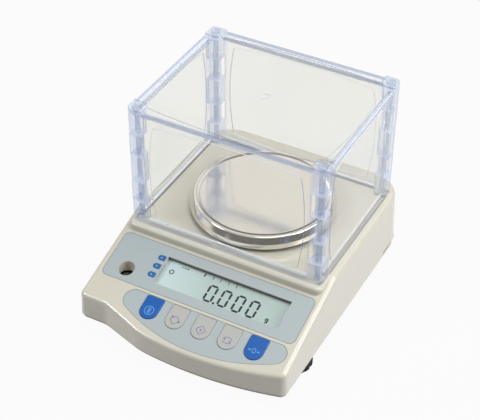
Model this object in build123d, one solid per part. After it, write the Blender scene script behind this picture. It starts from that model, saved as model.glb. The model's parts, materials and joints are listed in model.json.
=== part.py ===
from build123d import *
import math
import os

# Precision balance with a clear draft shield, in millimetres.
# X is to the right as the user faces the display, Y points to the back, Z is up.
# The origin is on the ground under the middle of the balance's outline.

# Overall body
housing_width = 181.0
housing_depth = 235.0
skirt_height = 12.5
deck_height = 59.4
ground_gap = 9.8
wall = 2.5
draft_angle = 2.6
rear_corner_radius = 30.0
front_corner_radius = 6.0
top_edge_radius = 3.5
front_radius_share = 0.8
scoop_setback = 33.5
scoop_drop = 2.0
scoop_radius = 13.0
scoop_depth = 1.5

# Front step and the bulge of the nose
step_setback = 13.9
bulge_end_lead = 2.3
bulge_centre_x = 8.0
bulge_start = 24.5
bulge_slant = 17.5
bulge_inner_radius = 22.0
bulge_outer_radius = 60.0

# Sloped console
console_slope = 17.7
console_front_height = 32.3
console_origin_setback = 45.6

# Raised deck under the draft shield
pad_margin = 2.0
pad_front_margin = 4.5
pad_back_setback = 20.0
pad_depth_in_console = 8.0
pad_corner_radius = 6.0
pad_edge_radius = 2.5

# Draft shield
shield_width = 165.0
shield_depth = 132.0
shield_top = 165.0
shield_back_margin = 19.5
panel_thickness = 3.0
window_recess = 0.8
window_border = 9.0
window_bow = 4.0
rail_width = 5.2
rail_height = 3.6
rail_notch_x = 52.0
rail_notch_width = 1.2
rail_stud_setback = 26.0
rail_stud_diameter = 3.0
rail_stud_height = 0.8
post_size = 12.0
post_corner_radius = 4.0
post_inner_radius = 4.0
end_knuckle = 19.5
recessed_knuckle = 19.5
knuckle_gap = 0.2
barrel_diameter = 9.0
web_setback = 0.5
web_thickness = 5.0
cheek_thickness = 1.6
cheek_setback = 1.5
pin_diameter = 4.0
pin_clearance = 0.15
pin_head_diameter = 6.5
pin_head_height = 4.2
pin_head_edge = 0.5
pin_head_gap = 0.5
pin_floor = 0.6
lid_thickness = 3.0
lid_recess = 0.9
lid_border = 10.0
lid_bow = 5.0
lid_cap_size = 13.0
lid_cap_height = 2.2
lid_cap_inner_radius = 5.0
lid_cap_edge = 0.5
lip_depth = 2.5
lip_width = 2.0
lip_clearance = 0.5
lid_dimple_radius = 3.0
lid_dimple_depth = 0.5

# Weighing pan and its support
pan_diameter = 118.0
pan_height = 12.3
pan_flat_radius = 50.8
pan_bead_radius = 55.4
pan_bead_height = 0.7
pan_shoulder_radius = 58.0
pan_shoulder_drop = 3.1
pan_skirt_drop = 8.9
pan_sheet = 0.8
support_diameter = 115.0
support_gap = 1.0
support_sheet = 2.0
support_rim_width = 2.0
support_rim_height = 1.6
support_arm_count = 4
support_arm_width = 5.0
support_arm_reach = 46.0
support_arm_angle = 45.0
support_hub_diameter = 22.0
cushion_diameter = 9.0
cushion_height = 1.8
cushion_radius_out = 40.0
drip_skirt_depth = 0.7
drip_skirt_diameter = 16.0
shaft_hole_diameter = 22.0

# Load cell with its parallel flexure arms and tuning fork
shaft_diameter = 9.0
shaft_tip_diameter = 8.0
shaft_tip_length = 5.0
shaft_drop = 5.6
shaft_fit = 0.15
shaft_flange_diameter = 16.0
shaft_flange_thickness = 3.0
column_width = 26.0
column_depth = 16.0
column_cap = 3.0
column_chamfer = 1.5
frame_post_height = 2.5
frame_plate = 5.0
frame_width = 92.0
frame_front_reach = 48.0
frame_back_reach = 56.0
frame_corner_radius = 6.0
fixed_column_setback = 40.0
gusset_length = 18.0
gusset_thickness = 4.0
gusset_drop = 4.0
arm_gap = 0.3
arm_width = 24.0
arm_window_width = 12.0
arm_thickness = 3.6
arm_neck = 1.2
arm_neck_inset = 4.0
lower_arm_height = 25.0
upper_arm_height = 45.0
load_travel = 0.3
stop_margin = 0.05
stop_diameter = 5.0
stop_base_gap = 0.5
column_floor_gap = 2.5
tongue_reach = 6.0
tongue_width = 10.0
tongue_thickness = 3.0
tongue_gap = 0.4
lever_width = 8.0
lever_thickness = 4.0
lever_height = 35.0
lever_setback = 3.0
lever_length = 22.0
fulcrum_setback = 10.0
fulcrum_thickness = 4.0
fulcrum_neck = 1.2
fulcrum_neck_drop = 3.0
fork_width = 10.0
fork_thickness = 2.0
fork_slot = 2.0
fork_root = 2.5
fork_setback = 21.0
fork_foot = 1.0
piezo_thickness = 0.5
piezo_height = 3.5
piezo_width = 2.4

# Labels, display and keys
label_margin = 7.0
label_top = 18.0
label_bottom = -24.0
label_corner_radius = 5.0
film = 0.4
label_gap = 0.1
window_centre_x = 13.3
window_centre_t = -3.4
window_width = 106.6
window_height = 25.2
window_plate = 1.2
window_seat = 2.4
lcd_depth = 3.4
lcd_glass = 2.8
lcd_margin = 3.0
lcd_frame_wall = 2.5
lcd_frame_ledge = 1.5
board_depth = 11.4
board_thickness = 1.6
board_left_margin = 4.3
board_right_margin = 5.7
board_top_margin = 4.5
board_bottom_margin = 2.4
board_notch_margin = 5.6
board_notch_drop = 6.0
key_count = 5
key_middle_x = 14.3
key_pitch = 22.4
key_inset = 0.8
key_width = 15.0
key_length = 19.6
key_clearance = 0.3
key_corner_radius = 1.5
key_proud = 0.55
key_edge = 0.3
key_flange = 0.8
key_flange_thickness = 1.0
key_stem_diameter = 5.0
key_stem_depth = 8.0
key_travel = 0.5
switch_size = 6.0
switch_height = 2.4
plunger_diameter = 3.4
plunger_gap = 0.1
keypad_spacing = 2.2
keypad_front_margin = 4.5
keypad_left_margin = 17.0
keypad_right_margin = 7.5
keypad_lowest_x = 20.0
keypad_end_x = 6.0
keypad_end_t = 6.0
keypad_shoulder_x = 4.0
keypad_shoulder_t = 16.0

# Level vial
vial_margin = 17.7
vial_rise = 11.2
vial_bore = 12.6
vial_diameter = 12.0
vial_height = 8.0
vial_depth = 9.0
vial_wall = 1.2
vial_shroud_wall = 1.6
vial_shroud_gap = 1.5
vial_cup_wall = 1.5
vial_cup_depth = 4.0
vial_stem_diameter = 9.0
vial_lens_height = 1.2
vial_lens_edge = 0.4
bubble_diameter = 4.0

# Lower housing, feet and fasteners
tray_reveal = 1.2
tray_rim_height = 6.5
tray_rim_wall = 2.0
tray_rim_clearance = 0.3
foot_front_inset = 15.5
foot_front_setback = 43.6
foot_rear_inset = 28.5
foot_rear_setback = 33.5
foot_diameter = 29.0
foot_height = 7.2
foot_edge = 1.2
foot_stud_edge = 0.6
foot_grip_count = 12
foot_grip_radius = 2.4
foot_grip_setback = 1.2
foot_stud_diameter = 6.0
foot_stud_base = 1.5
foot_stud_top = 21.0
insert_wall = 1.8
insert_height = 7.0
insert_clearance = 0.25
insert_floor_depth = 1.5
foot_boss_height = 6.0
screw_diameter = 3.0
screw_head_diameter = 5.6
screw_head_height = 2.0
screw_boss_diameter = 9.0
screw_boss_height = 5.8
screw_length = 14.0
screw_seat_depth = 2.8
screw_side_inset = 10.0
screw_front_setback = 15.0
screw_middle_setback = 12.0
screw_back_setback = 10.0
screw_back_gap = 6.0
frame_screw_length = 9.0
upper_boss_gap = 0.2
upper_boss_diameter = 7.0
display_post_diameter = 6.0
board_screw_diameter = 2.5
board_screw_head = 4.6
board_screw_length = 6.0
fit_gap = 0.05
hole_gap = 0.15
counterbore_gap = 0.4
insert_boss_wall = 1.5
over = 1.0
near = 0.5

# Electronics and the connectors at the back
main_board_post_height = 5.5
main_board_back_gap = 6.5
main_board_strip = 20.0
main_board_end_gap = 0.6
main_board_jack_gap = 12.0
main_board_wing_gap = 16.5
main_board_frame_gap = 4.0
main_board_foot_gap = 16.0
main_board_rear_foot_gap = 10.0
main_board_neck_width = 6.0
main_board_neck_length = 10.0
chip_size = 12.0
chip_height = 1.6
plug_length = 10.0
plug_setback = 27.0
plug_width = 5.0
plug_height = 2.6
capacitor_diameter = 8.0
capacitor_height = 11.0
serial_x = 28.0
jack_x = -32.0
serial_width = 30.8
serial_height = 12.5
serial_plate = 0.8
serial_plate_gap = 0.1
serial_body_depth = 14.0
serial_shell_width = 17.0
serial_shell_height = 8.4
serial_shell_wall = 0.5
serial_shell_lean = 1.2
serial_shell_radius = 1.6
serial_body_inset = 2.0
serial_shell_reach = 3.0
serial_screw_pitch = 25.0
serial_opening_gap = 1.0
jackscrew_diameter = 5.0
jackscrew_bore = 2.8
jackscrew_floor = 0.8
jack_diameter = 9.0
jack_hole_diameter = 5.6
jack_hole_depth = 9.0
jack_pin_diameter = 2.0
jack_pin_setback = 1.5
jack_face_setback = 0.5
jack_body_length = 12.0
jack_lift = 0.6
connector_gap = 0.3
connector_reach = 7.5
ribbon_inset = 3.0
ribbon_width = 6.0
ribbon_thickness = 0.8
ribbon_bend = 1.5
ribbon_drop = 5.5
ribbon_rise = 4.5
socket_length = 8.0
socket_height = 3.0
socket_wall = 1.0
ribbon_board_t = -6.0
ribbon_main_setback = 8.0

# Screws and posts, from the edges of what they hold
display_post_gap = 6.2
display_post_rise = 0.8
display_post_drop = 8.0
frame_screw_inset = 8.0
board_screw_front = 8.0
board_screw_back = 12.0
board_screw_jack_gap = 18.0
board_screw_serial_gap = 10.0
board_screw_strip_inset = 3.5

# Derived values
half_width = housing_width / 2
half_depth = housing_depth / 2
step_front_y = -half_depth + step_setback
bulge_start_x = -half_width + bulge_start
bulge_sag = step_setback - bulge_end_lead
bulge_radius = ((half_width - bulge_centre_x) ** 2 + bulge_sag**2) / (2 * bulge_sag)
side_lean = math.tan(math.radians(draft_angle))
slope = math.tan(math.radians(console_slope))
console_origin_y = step_front_y + console_origin_setback
form_top = deck_height + 2 * wall
tray_top = skirt_height
shield_centre_y = half_depth - shield_back_margin - shield_depth / 2
shield_front_y = shield_centre_y - shield_depth / 2
shield_back_y = shield_centre_y + shield_depth / 2
pad_back_y = shield_centre_y - pad_back_setback
lid_underside = shield_top - lid_thickness
panel_height = lid_underside - deck_height
middle_knuckle = panel_height - 2 * end_knuckle - 2 * recessed_knuckle
post_x = shield_width / 2 - post_size / 2
post_y = shield_depth / 2 - post_size / 2
rail_stud_y = shield_depth / 2 - rail_stud_setback
pan_top = deck_height + pan_height
pan_shoulder_height = pan_top - pan_shoulder_drop
pan_skirt_height = pan_top - pan_skirt_drop
support_underside = deck_height + support_gap
shaft_top = pan_top - shaft_drop
scoop_y = half_depth - scoop_setback
scoop_height = skirt_height - scoop_drop

screw_seat = ground_gap + screw_seat_depth
screw_boss_top = tray_top + screw_boss_height
foot_boss_top = tray_top + foot_boss_height
insert_diameter = foot_stud_diameter + 2 * insert_clearance + 2 * insert_wall
insert_floor = ground_gap + insert_floor_depth
foot_front_x = half_width - foot_front_inset
foot_front_y = step_front_y + foot_front_setback
foot_rear_x = half_width - foot_rear_inset
foot_rear_y = half_depth - foot_rear_setback
foot_places = [
    (-foot_front_x, foot_front_y),
    (foot_front_x, foot_front_y),
    (-foot_rear_x, foot_rear_y),
    (foot_rear_x, foot_rear_y),
]

frame_floor = tray_top + frame_post_height
frame_deck = frame_floor + frame_plate
frame_front = shield_centre_y - frame_front_reach
frame_back = shield_centre_y + frame_back_reach
fixed_column_front = shield_centre_y + fixed_column_setback
frame_screws = [
    (side * (frame_width / 2 - frame_screw_inset), y)
    for side in (-1, 1)
    for y in (frame_front + frame_screw_inset, frame_back - frame_screw_inset)
]
column_front = shield_centre_y - column_depth / 2
column_back = shield_centre_y + column_depth / 2
column_bottom = frame_deck + column_floor_gap
column_top = upper_arm_height + column_cap
arm_front = column_back + arm_gap
arm_back = fixed_column_front - arm_gap
lever_front = column_back + lever_setback
lever_top = lever_height + lever_thickness / 2
lever_bottom = lever_height - lever_thickness / 2
fork_y = column_back + fork_setback

label_width = housing_width - 2 * label_margin
keypad_top = label_bottom - keypad_spacing
key_top = keypad_top - key_inset
key_radius = key_width / 2
key_bottom = key_top - key_length
key_middle_t = (key_top + key_bottom) / 2
first_key_x = key_middle_x - key_pitch * (key_count - 1) / 2
last_key_x = key_middle_x + key_pitch * (key_count - 1) / 2
keypad_left = first_key_x - key_radius - keypad_left_margin
keypad_right = half_width - keypad_right_margin
nose_t = (console_origin_y + half_depth) / math.cos(math.radians(console_slope))
keypad_bottom = keypad_front_margin - nose_t
vial_x = -label_width / 2 + vial_margin
vial_t = label_bottom + vial_rise

main_board_height = tray_top + main_board_post_height
main_board_top = main_board_height + board_thickness
main_board_back = half_depth - main_board_back_gap
main_board_right = serial_x + serial_width / 2 + main_board_end_gap
main_board_left = jack_x - main_board_jack_gap
main_board_wing_left = -half_width + main_board_wing_gap
main_board_wing_right = -frame_width / 2 - main_board_frame_gap
main_board_wing_front = foot_front_y + main_board_foot_gap
main_board_wing_back = foot_rear_y - main_board_rear_foot_gap
main_board_wing_x = (main_board_wing_left + main_board_wing_right) / 2
serial_z = main_board_top + serial_height / 2
jack_z = main_board_top + jack_diameter / 2 + jack_lift
serial_lean = side_lean * (main_board_top + serial_height - skirt_height)
serial_plate_y = half_depth - wall - serial_lean - serial_plate_gap
board_screws = [
    (main_board_wing_x, main_board_wing_front + board_screw_front),
    (main_board_wing_x, main_board_wing_back - board_screw_back),
    (jack_x + board_screw_jack_gap, main_board_back - main_board_strip / 2),
    (
        serial_x + board_screw_serial_gap,
        main_board_back - main_board_strip + board_screw_strip_inset,
    ),
]
screw_side_x = half_width - screw_side_inset
screw_back_x = max(main_board_right, -main_board_left) + screw_back_gap
screw_places = [
    (-screw_side_x, step_front_y + screw_front_setback),
    (screw_side_x, step_front_y + screw_front_setback),
    (-screw_side_x, shield_centre_y - screw_middle_setback),
    (screw_side_x, shield_centre_y - screw_middle_setback),
    (-screw_back_x, half_depth - screw_back_setback),
    (screw_back_x, half_depth - screw_back_setback),
]

lcd_frame_reach = window_width / 2 + lcd_margin + lcd_frame_wall
post_left = window_centre_x - lcd_frame_reach - display_post_gap
post_right = window_centre_x + lcd_frame_reach + display_post_gap
post_top = window_centre_t + window_height / 2 + display_post_rise
post_right_t = window_centre_t - window_height / 2 - display_post_drop
display_posts = [
    (post_left, key_middle_t),
    (post_right, post_right_t),
    (post_left, post_top),
    (post_right, post_top),
]
ribbon_x = main_board_wing_right - ribbon_inset
ribbon_main_y = main_board_wing_front + ribbon_main_setback
board_left = min(post_left - board_left_margin, ribbon_x - ribbon_inset)
board_right = post_right + board_right_margin
board_top = post_top + board_top_margin
board_bottom = key_bottom - board_bottom_margin
board_notch_x = last_key_x + key_radius + board_notch_margin
board_notch_t = post_right_t - board_notch_drop


def console_height(y):
    """Height of the console's plane above the ground at this y."""
    return console_front_height + (y - step_front_y) * slope


console = Plane(
    origin=(0, console_origin_y, console_height(console_origin_y)),
    x_dir=(1, 0, 0),
    z_dir=(0, -math.sin(math.radians(console_slope)), math.cos(math.radians(console_slope))),
)
vial_y = console.from_local_coords(Vector(vial_x, vial_t, 0)).Y
vial_top = console_height(vial_y) - vial_depth


def block(x0, x1, y0, y1, z0, z1):
    """A box between two corners."""
    return Pos((x0 + x1) / 2, (y0 + y1) / 2, (z0 + z1) / 2) * Box(x1 - x0, y1 - y0, z1 - z0)


def rod(x, y, z0, z1, diameter):
    """An upright cylinder from z0 to z1."""
    return Pos(x, y, (z0 + z1) / 2) * Cylinder(diameter / 2, z1 - z0)


def rod_back(x, z, y0, y1, diameter):
    """A cylinder that lies along Y from y0 to y1."""
    return Pos(x, (y0 + y1) / 2, z) * (Rot(90, 0, 0) * Cylinder(diameter / 2, y1 - y0))


def console_rod(x, t, low, high, diameter):
    """A cylinder square to the console, from low to high above its surface."""
    return console * (Pos(x, t, (low + high) / 2) * Cylinder(diameter / 2, high - low))


def on_console(sketch, low, high):
    """A prism over a sketch on the console, from low to high above its surface."""
    return extrude(console.offset(low) * sketch, high - low)


def flat_prism(sketch, low, high):
    """A prism over a level sketch."""
    return extrude(Pos(0, 0, low) * sketch, high - low)


def corners(sketch, keep):
    """The corner points of a sketch that a test picks."""
    return sketch.vertices().filter_by(lambda v: keep(v.X, v.Y))


def closed_face(points):
    """A face inside straight sides."""
    return make_face(Polyline(*points, close=True))


def group(pieces):
    """Several separate solids kept under one name."""
    return Compound(children=[s for piece in pieces for s in piece.solids()])


def body_outline(inset):
    """Plan of the body: straight sides, round back corners, and a bulge in the front."""
    side = half_width - inset
    back = half_depth - inset
    step = step_front_y + inset
    main = Pos(0, (back + step) / 2) * Rectangle(2 * side, back - step)
    disc = Pos(bulge_centre_x, -half_depth + bulge_radius) * Circle(bulge_radius - inset)
    slant = math.tan(math.radians(bulge_slant))
    start_x = bulge_start_x + inset * math.tan(math.radians(bulge_slant / 2))
    wedge = closed_face(
        [
            (start_x - over / slant, step + over),
            (side, step - slant * (side - start_x)),
            (side, step + over),
        ]
    )
    plan = main + (disc & wedge)
    plan = fillet(corners(plan, lambda x, y: y > 0), rear_corner_radius - inset)
    front = corners(plan, lambda x, y: y < 0 and abs(x) > side - near)
    plan = fillet(front, front_corner_radius - inset * front_radius_share)
    inner = corners(plan, lambda x, y: abs(x - start_x) < near and abs(y - step) < near)
    plan = fillet(inner, bulge_inner_radius + inset)
    outer = corners(plan, lambda x, y: y < (step - half_depth) / 2 and x < bulge_centre_x)
    return fillet(outer, bulge_outer_radius - inset)


def body_form(inset, drop):
    """The drafted body cut to its side profile: flat deck and sloped console."""
    prism = extrude(Pos(0, 0, skirt_height) * body_outline(inset), form_top - skirt_height)
    sides = [face for face in prism.faces() if abs(face.center().Z - (form_top + skirt_height) / 2) < near]
    form = draft(sides, Plane.XY.offset(skirt_height), draft_angle)
    deck = deck_height - drop
    console_drop = drop / math.cos(math.radians(console_slope))
    front = -half_depth - over
    back = half_depth + over
    front_z = console_height(front) - console_drop
    meet = step_front_y + (deck + console_drop - console_front_height) / slope
    side_view = Plane.YZ * closed_face(
        [(front, 0), (front, front_z), (meet, deck), (back, deck), (back, 0)]
    )
    return form & extrude(side_view, housing_width, both=True)


def deck_pad(inset, drop):
    """The raised deck that carries the draft shield."""
    width = shield_width + 2 * pad_margin - 2 * inset
    front = shield_front_y - pad_front_margin + inset
    low = console_height(front) - drop - pad_depth_in_console
    plan = Pos(0, (front + pad_back_y) / 2) * RectangleRounded(
        width, pad_back_y - front, pad_corner_radius - inset
    )
    return flat_prism(plan, low, deck_height - drop)


def key_shape(grow=0.0):
    """Outline of a key about its own x: square at the top, half round at the bottom."""
    radius = key_radius + grow
    top = key_top + grow
    centre = key_bottom + key_radius
    sides = Polyline((-radius, centre), (-radius, top), (radius, top), (radius, centre))
    bottom = ThreePointArc((radius, centre), (0, centre - radius), (-radius, centre))
    shape = make_face(sides + bottom)
    return fillet(corners(shape, lambda x, y: y > top - near), key_corner_radius + grow / 2)


def key_centres():
    """The x of each key, from left to right."""
    return [first_key_x + key_pitch * i for i in range(key_count)]


def keypad_shape(grow=0.0):
    """Crescent label around the keys: straight top, deep curve below."""
    left = keypad_left
    right = keypad_right
    top = keypad_top
    start = (left + keypad_end_x, top)
    end = (right - keypad_end_x, top)
    lower_left = (left + keypad_shoulder_x, top - keypad_shoulder_t)
    lower_right = (right - keypad_shoulder_x, top - keypad_shoulder_t)
    curve = Polyline(start, end)
    curve += ThreePointArc(end, (right, top - keypad_end_t), lower_right)
    curve += ThreePointArc(lower_right, (keypad_lowest_x, keypad_bottom), lower_left)
    curve += ThreePointArc(lower_left, (left, top - keypad_end_t), start)
    shape = make_face(curve)
    return offset(shape, grow) if grow else shape


def label_shape(grow=0.0):
    """Rounded rectangle of the display label."""
    return Pos(0, (label_top + label_bottom) / 2) * RectangleRounded(
        label_width + 2 * grow, label_top - label_bottom + 2 * grow, label_corner_radius + grow
    )


def window_shape(grow=0.0):
    """Display opening in the label and the housing."""
    return Pos(window_centre_x, window_centre_t) * Rectangle(
        window_width + 2 * grow, window_height + 2 * grow
    )


def make_upper_housing():
    """Moulded cover: a drafted shell with its console, raised deck, bosses and openings."""
    outer = body_form(0, 0)
    upper_edges = outer.edges().filter_by(lambda e: e.center().Z > skirt_height + over)
    kink_y = step_front_y + (deck_height - console_front_height) / slope
    rounded = [
        e
        for e in upper_edges
        if abs(e.tangent_at(0.5).Z) < 0.9
        and (abs(e.center().Y - kink_y) > over or abs(e.center().X) > half_width / 2)
    ]
    outer = fillet(rounded, top_edge_radius)
    pad = deck_pad(0, 0)
    outer += fillet(pad.edges().group_by(Axis.Z)[-1], pad_edge_radius)
    inner = body_form(wall, wall) + deck_pad(wall, wall)
    shell = outer - inner

    boss_bottom = screw_boss_top + upper_boss_gap
    for x, y in screw_places:
        shell += rod(x, y, boss_bottom, deck_height, upper_boss_diameter) & inner
    shroud = vial_bore + 2 * vial_shroud_wall
    shell += rod(vial_x, vial_y, vial_top + vial_shroud_gap, deck_height, shroud) & inner
    for x, t in display_posts:
        shell += console_rod(x, t, -board_depth, -wall + over, display_post_diameter) & inner

    for x, y in screw_places:
        hole = screw_diameter + 2 * fit_gap
        shell -= rod(x, y, boss_bottom - over, screw_seat + screw_length + over, hole)
    for x, t in display_posts:
        hole = board_screw_diameter + 2 * fit_gap
        depth = board_screw_length - board_thickness + over
        shell -= console_rod(x, t, -board_depth - over, -board_depth + depth, hole)
    shell -= rod(0, shield_centre_y, deck_height - 2 * wall, deck_height + over, shaft_hole_diameter)
    shell -= rod(vial_x, vial_y, vial_top, deck_height, vial_bore)
    shell -= on_console(label_shape(label_gap), -film, wall)
    shell -= on_console(keypad_shape(label_gap), -film, wall)
    shell -= on_console(window_shape(window_seat), -film - window_plate, wall)
    shell -= on_console(window_shape(), -2 * wall, wall)
    for x in key_centres():
        shell -= on_console(Pos(x, 0) * key_shape(key_clearance), -2 * wall, wall)

    opening = 2 * serial_opening_gap
    shell -= block(
        serial_x - (serial_shell_width + opening) / 2,
        serial_x + (serial_shell_width + opening) / 2,
        half_depth - connector_reach,
        half_depth + wall,
        serial_z - (serial_shell_height + opening) / 2,
        serial_z + (serial_shell_height + opening) / 2,
    )
    for side in (-1, 1):
        x = serial_x + side * serial_screw_pitch / 2
        hole = jackscrew_diameter + 2 * connector_gap
        shell -= rod_back(x, serial_z, half_depth - connector_reach, half_depth + wall, hole)
    hole = jack_diameter + 2 * connector_gap
    shell -= rod_back(jack_x, jack_z, half_depth - connector_reach, half_depth + wall, hole)
    for side in (-1, 1):
        middle = side * (half_width - scoop_depth + wall)
        disc = Rot(0, 90, 0) * Cylinder(scoop_radius, 2 * wall)
        shell -= Pos(middle, scoop_y, scoop_height) * disc
    return shell


def make_lower_housing():
    """Tray with a raised rim, bosses for screws and feet, and posts for what it carries."""
    tray = flat_prism(body_outline(tray_reveal), ground_gap, tray_top)
    rim_inset = wall + tray_rim_clearance + side_lean * tray_rim_height
    rim_plan = body_outline(rim_inset) - body_outline(rim_inset + tray_rim_wall)
    tray += flat_prism(rim_plan, tray_top, tray_top + tray_rim_height)
    for x, y in screw_places:
        tray += rod(x, y, tray_top, screw_boss_top, screw_boss_diameter)
    for x, y in foot_places:
        tray += rod(x, y, tray_top, foot_boss_top, insert_diameter + 2 * insert_boss_wall)
    for x, y in frame_screws:
        tray += rod(x, y, tray_top, frame_floor, screw_boss_diameter)
    for x, y in board_screws:
        tray += rod(x, y, tray_top, main_board_height, upper_boss_diameter)
    for x, y in screw_places:
        tray -= rod(x, y, 0, screw_seat, screw_head_diameter + 2 * counterbore_gap)
        tray -= rod(x, y, 0, screw_boss_top + over, screw_diameter + 2 * hole_gap)
    for x, y in foot_places:
        tray -= rod(x, y, 0, foot_boss_top + over, foot_stud_diameter + 2 * counterbore_gap)
        tray -= rod(x, y, insert_floor, foot_boss_top + over, insert_diameter + 2 * fit_gap)
    for x, y in frame_screws:
        tray -= rod(x, y, ground_gap + over, frame_floor + over, screw_diameter + 2 * fit_gap)
    for x, y in board_screws:
        tray -= rod(x, y, tray_top, main_board_height + over, board_screw_diameter + 2 * fit_gap)
    return tray


def screw_up(x, y):
    """Pan-head screw from below into the upper housing."""
    head = rod(x, y, screw_seat - screw_head_height, screw_seat, screw_head_diameter)
    return head + rod(x, y, screw_seat, screw_seat + screw_length, screw_diameter)


def screw_down(x, y, seat, length, diameter, head):
    """Pan-head screw from above."""
    return rod(x, y, seat, seat + screw_head_height, head) + rod(x, y, seat - length, seat, diameter)


def make_foot_knob(x, y):
    """Knurled wheel that levels the balance."""
    knob = rod(x, y, 0, foot_height, foot_diameter)
    knob = chamfer(knob.edges().filter_by(GeomType.CIRCLE), foot_edge)
    for i in range(foot_grip_count):
        angle = 2 * math.pi * i / foot_grip_count
        reach = foot_diameter / 2 + foot_grip_setback
        gx = x + reach * math.cos(angle)
        gy = y + reach * math.sin(angle)
        knob -= rod(gx, gy, -over, foot_height + over, 2 * foot_grip_radius)
    return knob - rod(x, y, foot_stud_base, foot_height + over, foot_stud_diameter + 2 * fit_gap)


def make_foot_stud(x, y):
    """Threaded stud of a levelling foot."""
    stud = rod(x, y, foot_stud_base, foot_stud_top, foot_stud_diameter)
    return chamfer(stud.edges().sort_by(Axis.Z)[-1], foot_stud_edge)


def make_insert(x, y):
    """Threaded insert that the stud turns in."""
    sleeve = rod(x, y, insert_floor, insert_floor + insert_height, insert_diameter)
    bore = foot_stud_diameter + 2 * insert_clearance
    return sleeve - rod(x, y, 0, insert_floor + insert_height + over, bore)


def make_display_label():
    """Film around the display window and the level vial."""
    label = on_console(label_shape(), -film, 0) - on_console(window_shape(), -over, over)
    return label - rod(vial_x, vial_y, vial_top, deck_height, vial_bore)


def make_keypad_label():
    """Crescent film with an opening for each key."""
    label = on_console(keypad_shape(), -film, 0)
    for x in key_centres():
        label -= on_console(Pos(x, 0) * key_shape(key_clearance), -over, over)
    return label


def make_key(x):
    """Key cap with a retaining flange and a stem."""
    cap = on_console(Pos(x, 0) * key_shape(), -wall, key_proud)
    face = cap.faces().sort_by(lambda f: console.to_local_coords(f.center()).Z)[-1]
    cap = chamfer(face.edges(), key_edge)
    under = -wall - key_flange_thickness
    cap += on_console(Pos(x, 0) * key_shape(key_flange), under, -wall)
    return cap + console_rod(x, key_middle_t, -key_stem_depth, under, key_stem_diameter)


def make_switch(x):
    """Tact switch under a key."""
    body = on_console(
        Pos(x, key_middle_t) * Rectangle(switch_size, switch_size),
        -board_depth,
        -board_depth + switch_height,
    )
    top = -key_stem_depth - key_travel - plunger_gap
    return body + console_rod(x, key_middle_t, -board_depth + switch_height, top, plunger_diameter)


def make_lcd_window():
    """Clear plate seated under the label."""
    return on_console(window_shape(window_seat - label_gap), -film - window_plate, -film)


def make_lcd_panel():
    """Liquid crystal glass behind the window."""
    return on_console(window_shape(lcd_margin), -lcd_depth - lcd_glass, -lcd_depth)


def make_lcd_frame():
    """Holder that stands on the board around the glass."""
    outside = window_shape(lcd_margin + lcd_frame_wall)
    frame = on_console(outside, -board_depth, -lcd_depth)
    frame -= on_console(window_shape(lcd_margin + fit_gap), -lcd_depth - lcd_glass, 0)
    return frame - on_console(window_shape(lcd_margin - lcd_frame_ledge), -board_depth - over, 0)


def make_display_board():
    """Circuit board parallel to the console."""
    plan = closed_face(
        [
            (board_left, board_bottom),
            (board_notch_x, board_bottom),
            (board_notch_x, board_notch_t),
            (board_right, board_notch_t),
            (board_right, board_top),
            (board_left, board_top),
        ]
    )
    board = on_console(plan, -board_depth - board_thickness, -board_depth)
    for x, t in display_posts:
        hole = board_screw_diameter + 2 * hole_gap
        board -= console_rod(x, t, -board_depth - 2 * board_thickness, 0, hole)
    return board


def make_display_screw(x, t):
    """Screw that holds the display board to its post."""
    seat = -board_depth - board_thickness
    head = console_rod(x, t, seat - screw_head_height, seat, board_screw_head)
    return head + console_rod(x, t, seat, seat + board_screw_length, board_screw_diameter)


def make_vial_holder():
    """Stem and cup that keep the level vial upright."""
    vial_base = vial_top - vial_height
    cup_diameter = vial_diameter + 2 * vial_cup_wall
    holder = rod(vial_x, vial_y, tray_top, vial_base, vial_stem_diameter)
    cup = rod(vial_x, vial_y, vial_base - vial_cup_depth, vial_base + vial_cup_depth, cup_diameter)
    pocket = vial_diameter + 2 * fit_gap
    return holder + cup - rod(vial_x, vial_y, vial_base, vial_top, pocket)


def make_vial():
    """Clear body of the bull's-eye level, open at the top."""
    body = rod(vial_x, vial_y, vial_top - vial_height, vial_top - vial_lens_height, vial_diameter)
    return body - vial_cavity()


def vial_cavity():
    """Space for the liquid."""
    inside = vial_diameter - 2 * vial_wall
    return rod(vial_x, vial_y, vial_top - vial_height + 2, vial_top - vial_lens_height, inside)


def make_vial_liquid():
    """Liquid with its bubble left out."""
    bubble = Pos(vial_x, vial_y, vial_top - vial_lens_height) * Sphere(bubble_diameter / 2)
    return vial_cavity() - bubble


def make_vial_lens():
    """Lens that closes the vial."""
    lens = rod(vial_x, vial_y, vial_top - vial_lens_height, vial_top, vial_diameter)
    return chamfer(lens.edges().sort_by(Axis.Z)[-1], vial_lens_edge)


def make_sensor_frame():
    """Cast base plate with the fixed column and its gussets."""
    middle = (frame_front + frame_back) / 2
    plan = Pos(0, middle) * RectangleRounded(frame_width, frame_back - frame_front, frame_corner_radius)
    frame = flat_prism(plan, frame_floor, frame_deck)
    half = column_width / 2
    top = upper_arm_height + arm_thickness
    frame += block(-half, half, fixed_column_front, fixed_column_front + column_depth, frame_deck, top)
    for side in (-1, 1):
        root = side * half
        far = side * (half + gusset_length)
        web = Plane.XZ * closed_face([(root, frame_deck), (far, frame_deck), (root, top - gusset_drop)])
        middle_y = fixed_column_front + column_depth / 2 + gusset_thickness / 2
        frame += Pos(0, middle_y, 0) * extrude(web, gusset_thickness)
    for x, y in frame_screws:
        frame -= rod(x, y, frame_floor - over, frame_deck + over, screw_diameter + 2 * hole_gap)
    hole = stop_diameter + 2 * fit_gap
    return frame - rod(0, shield_centre_y, frame_floor - over, frame_deck + over, hole)


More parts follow.
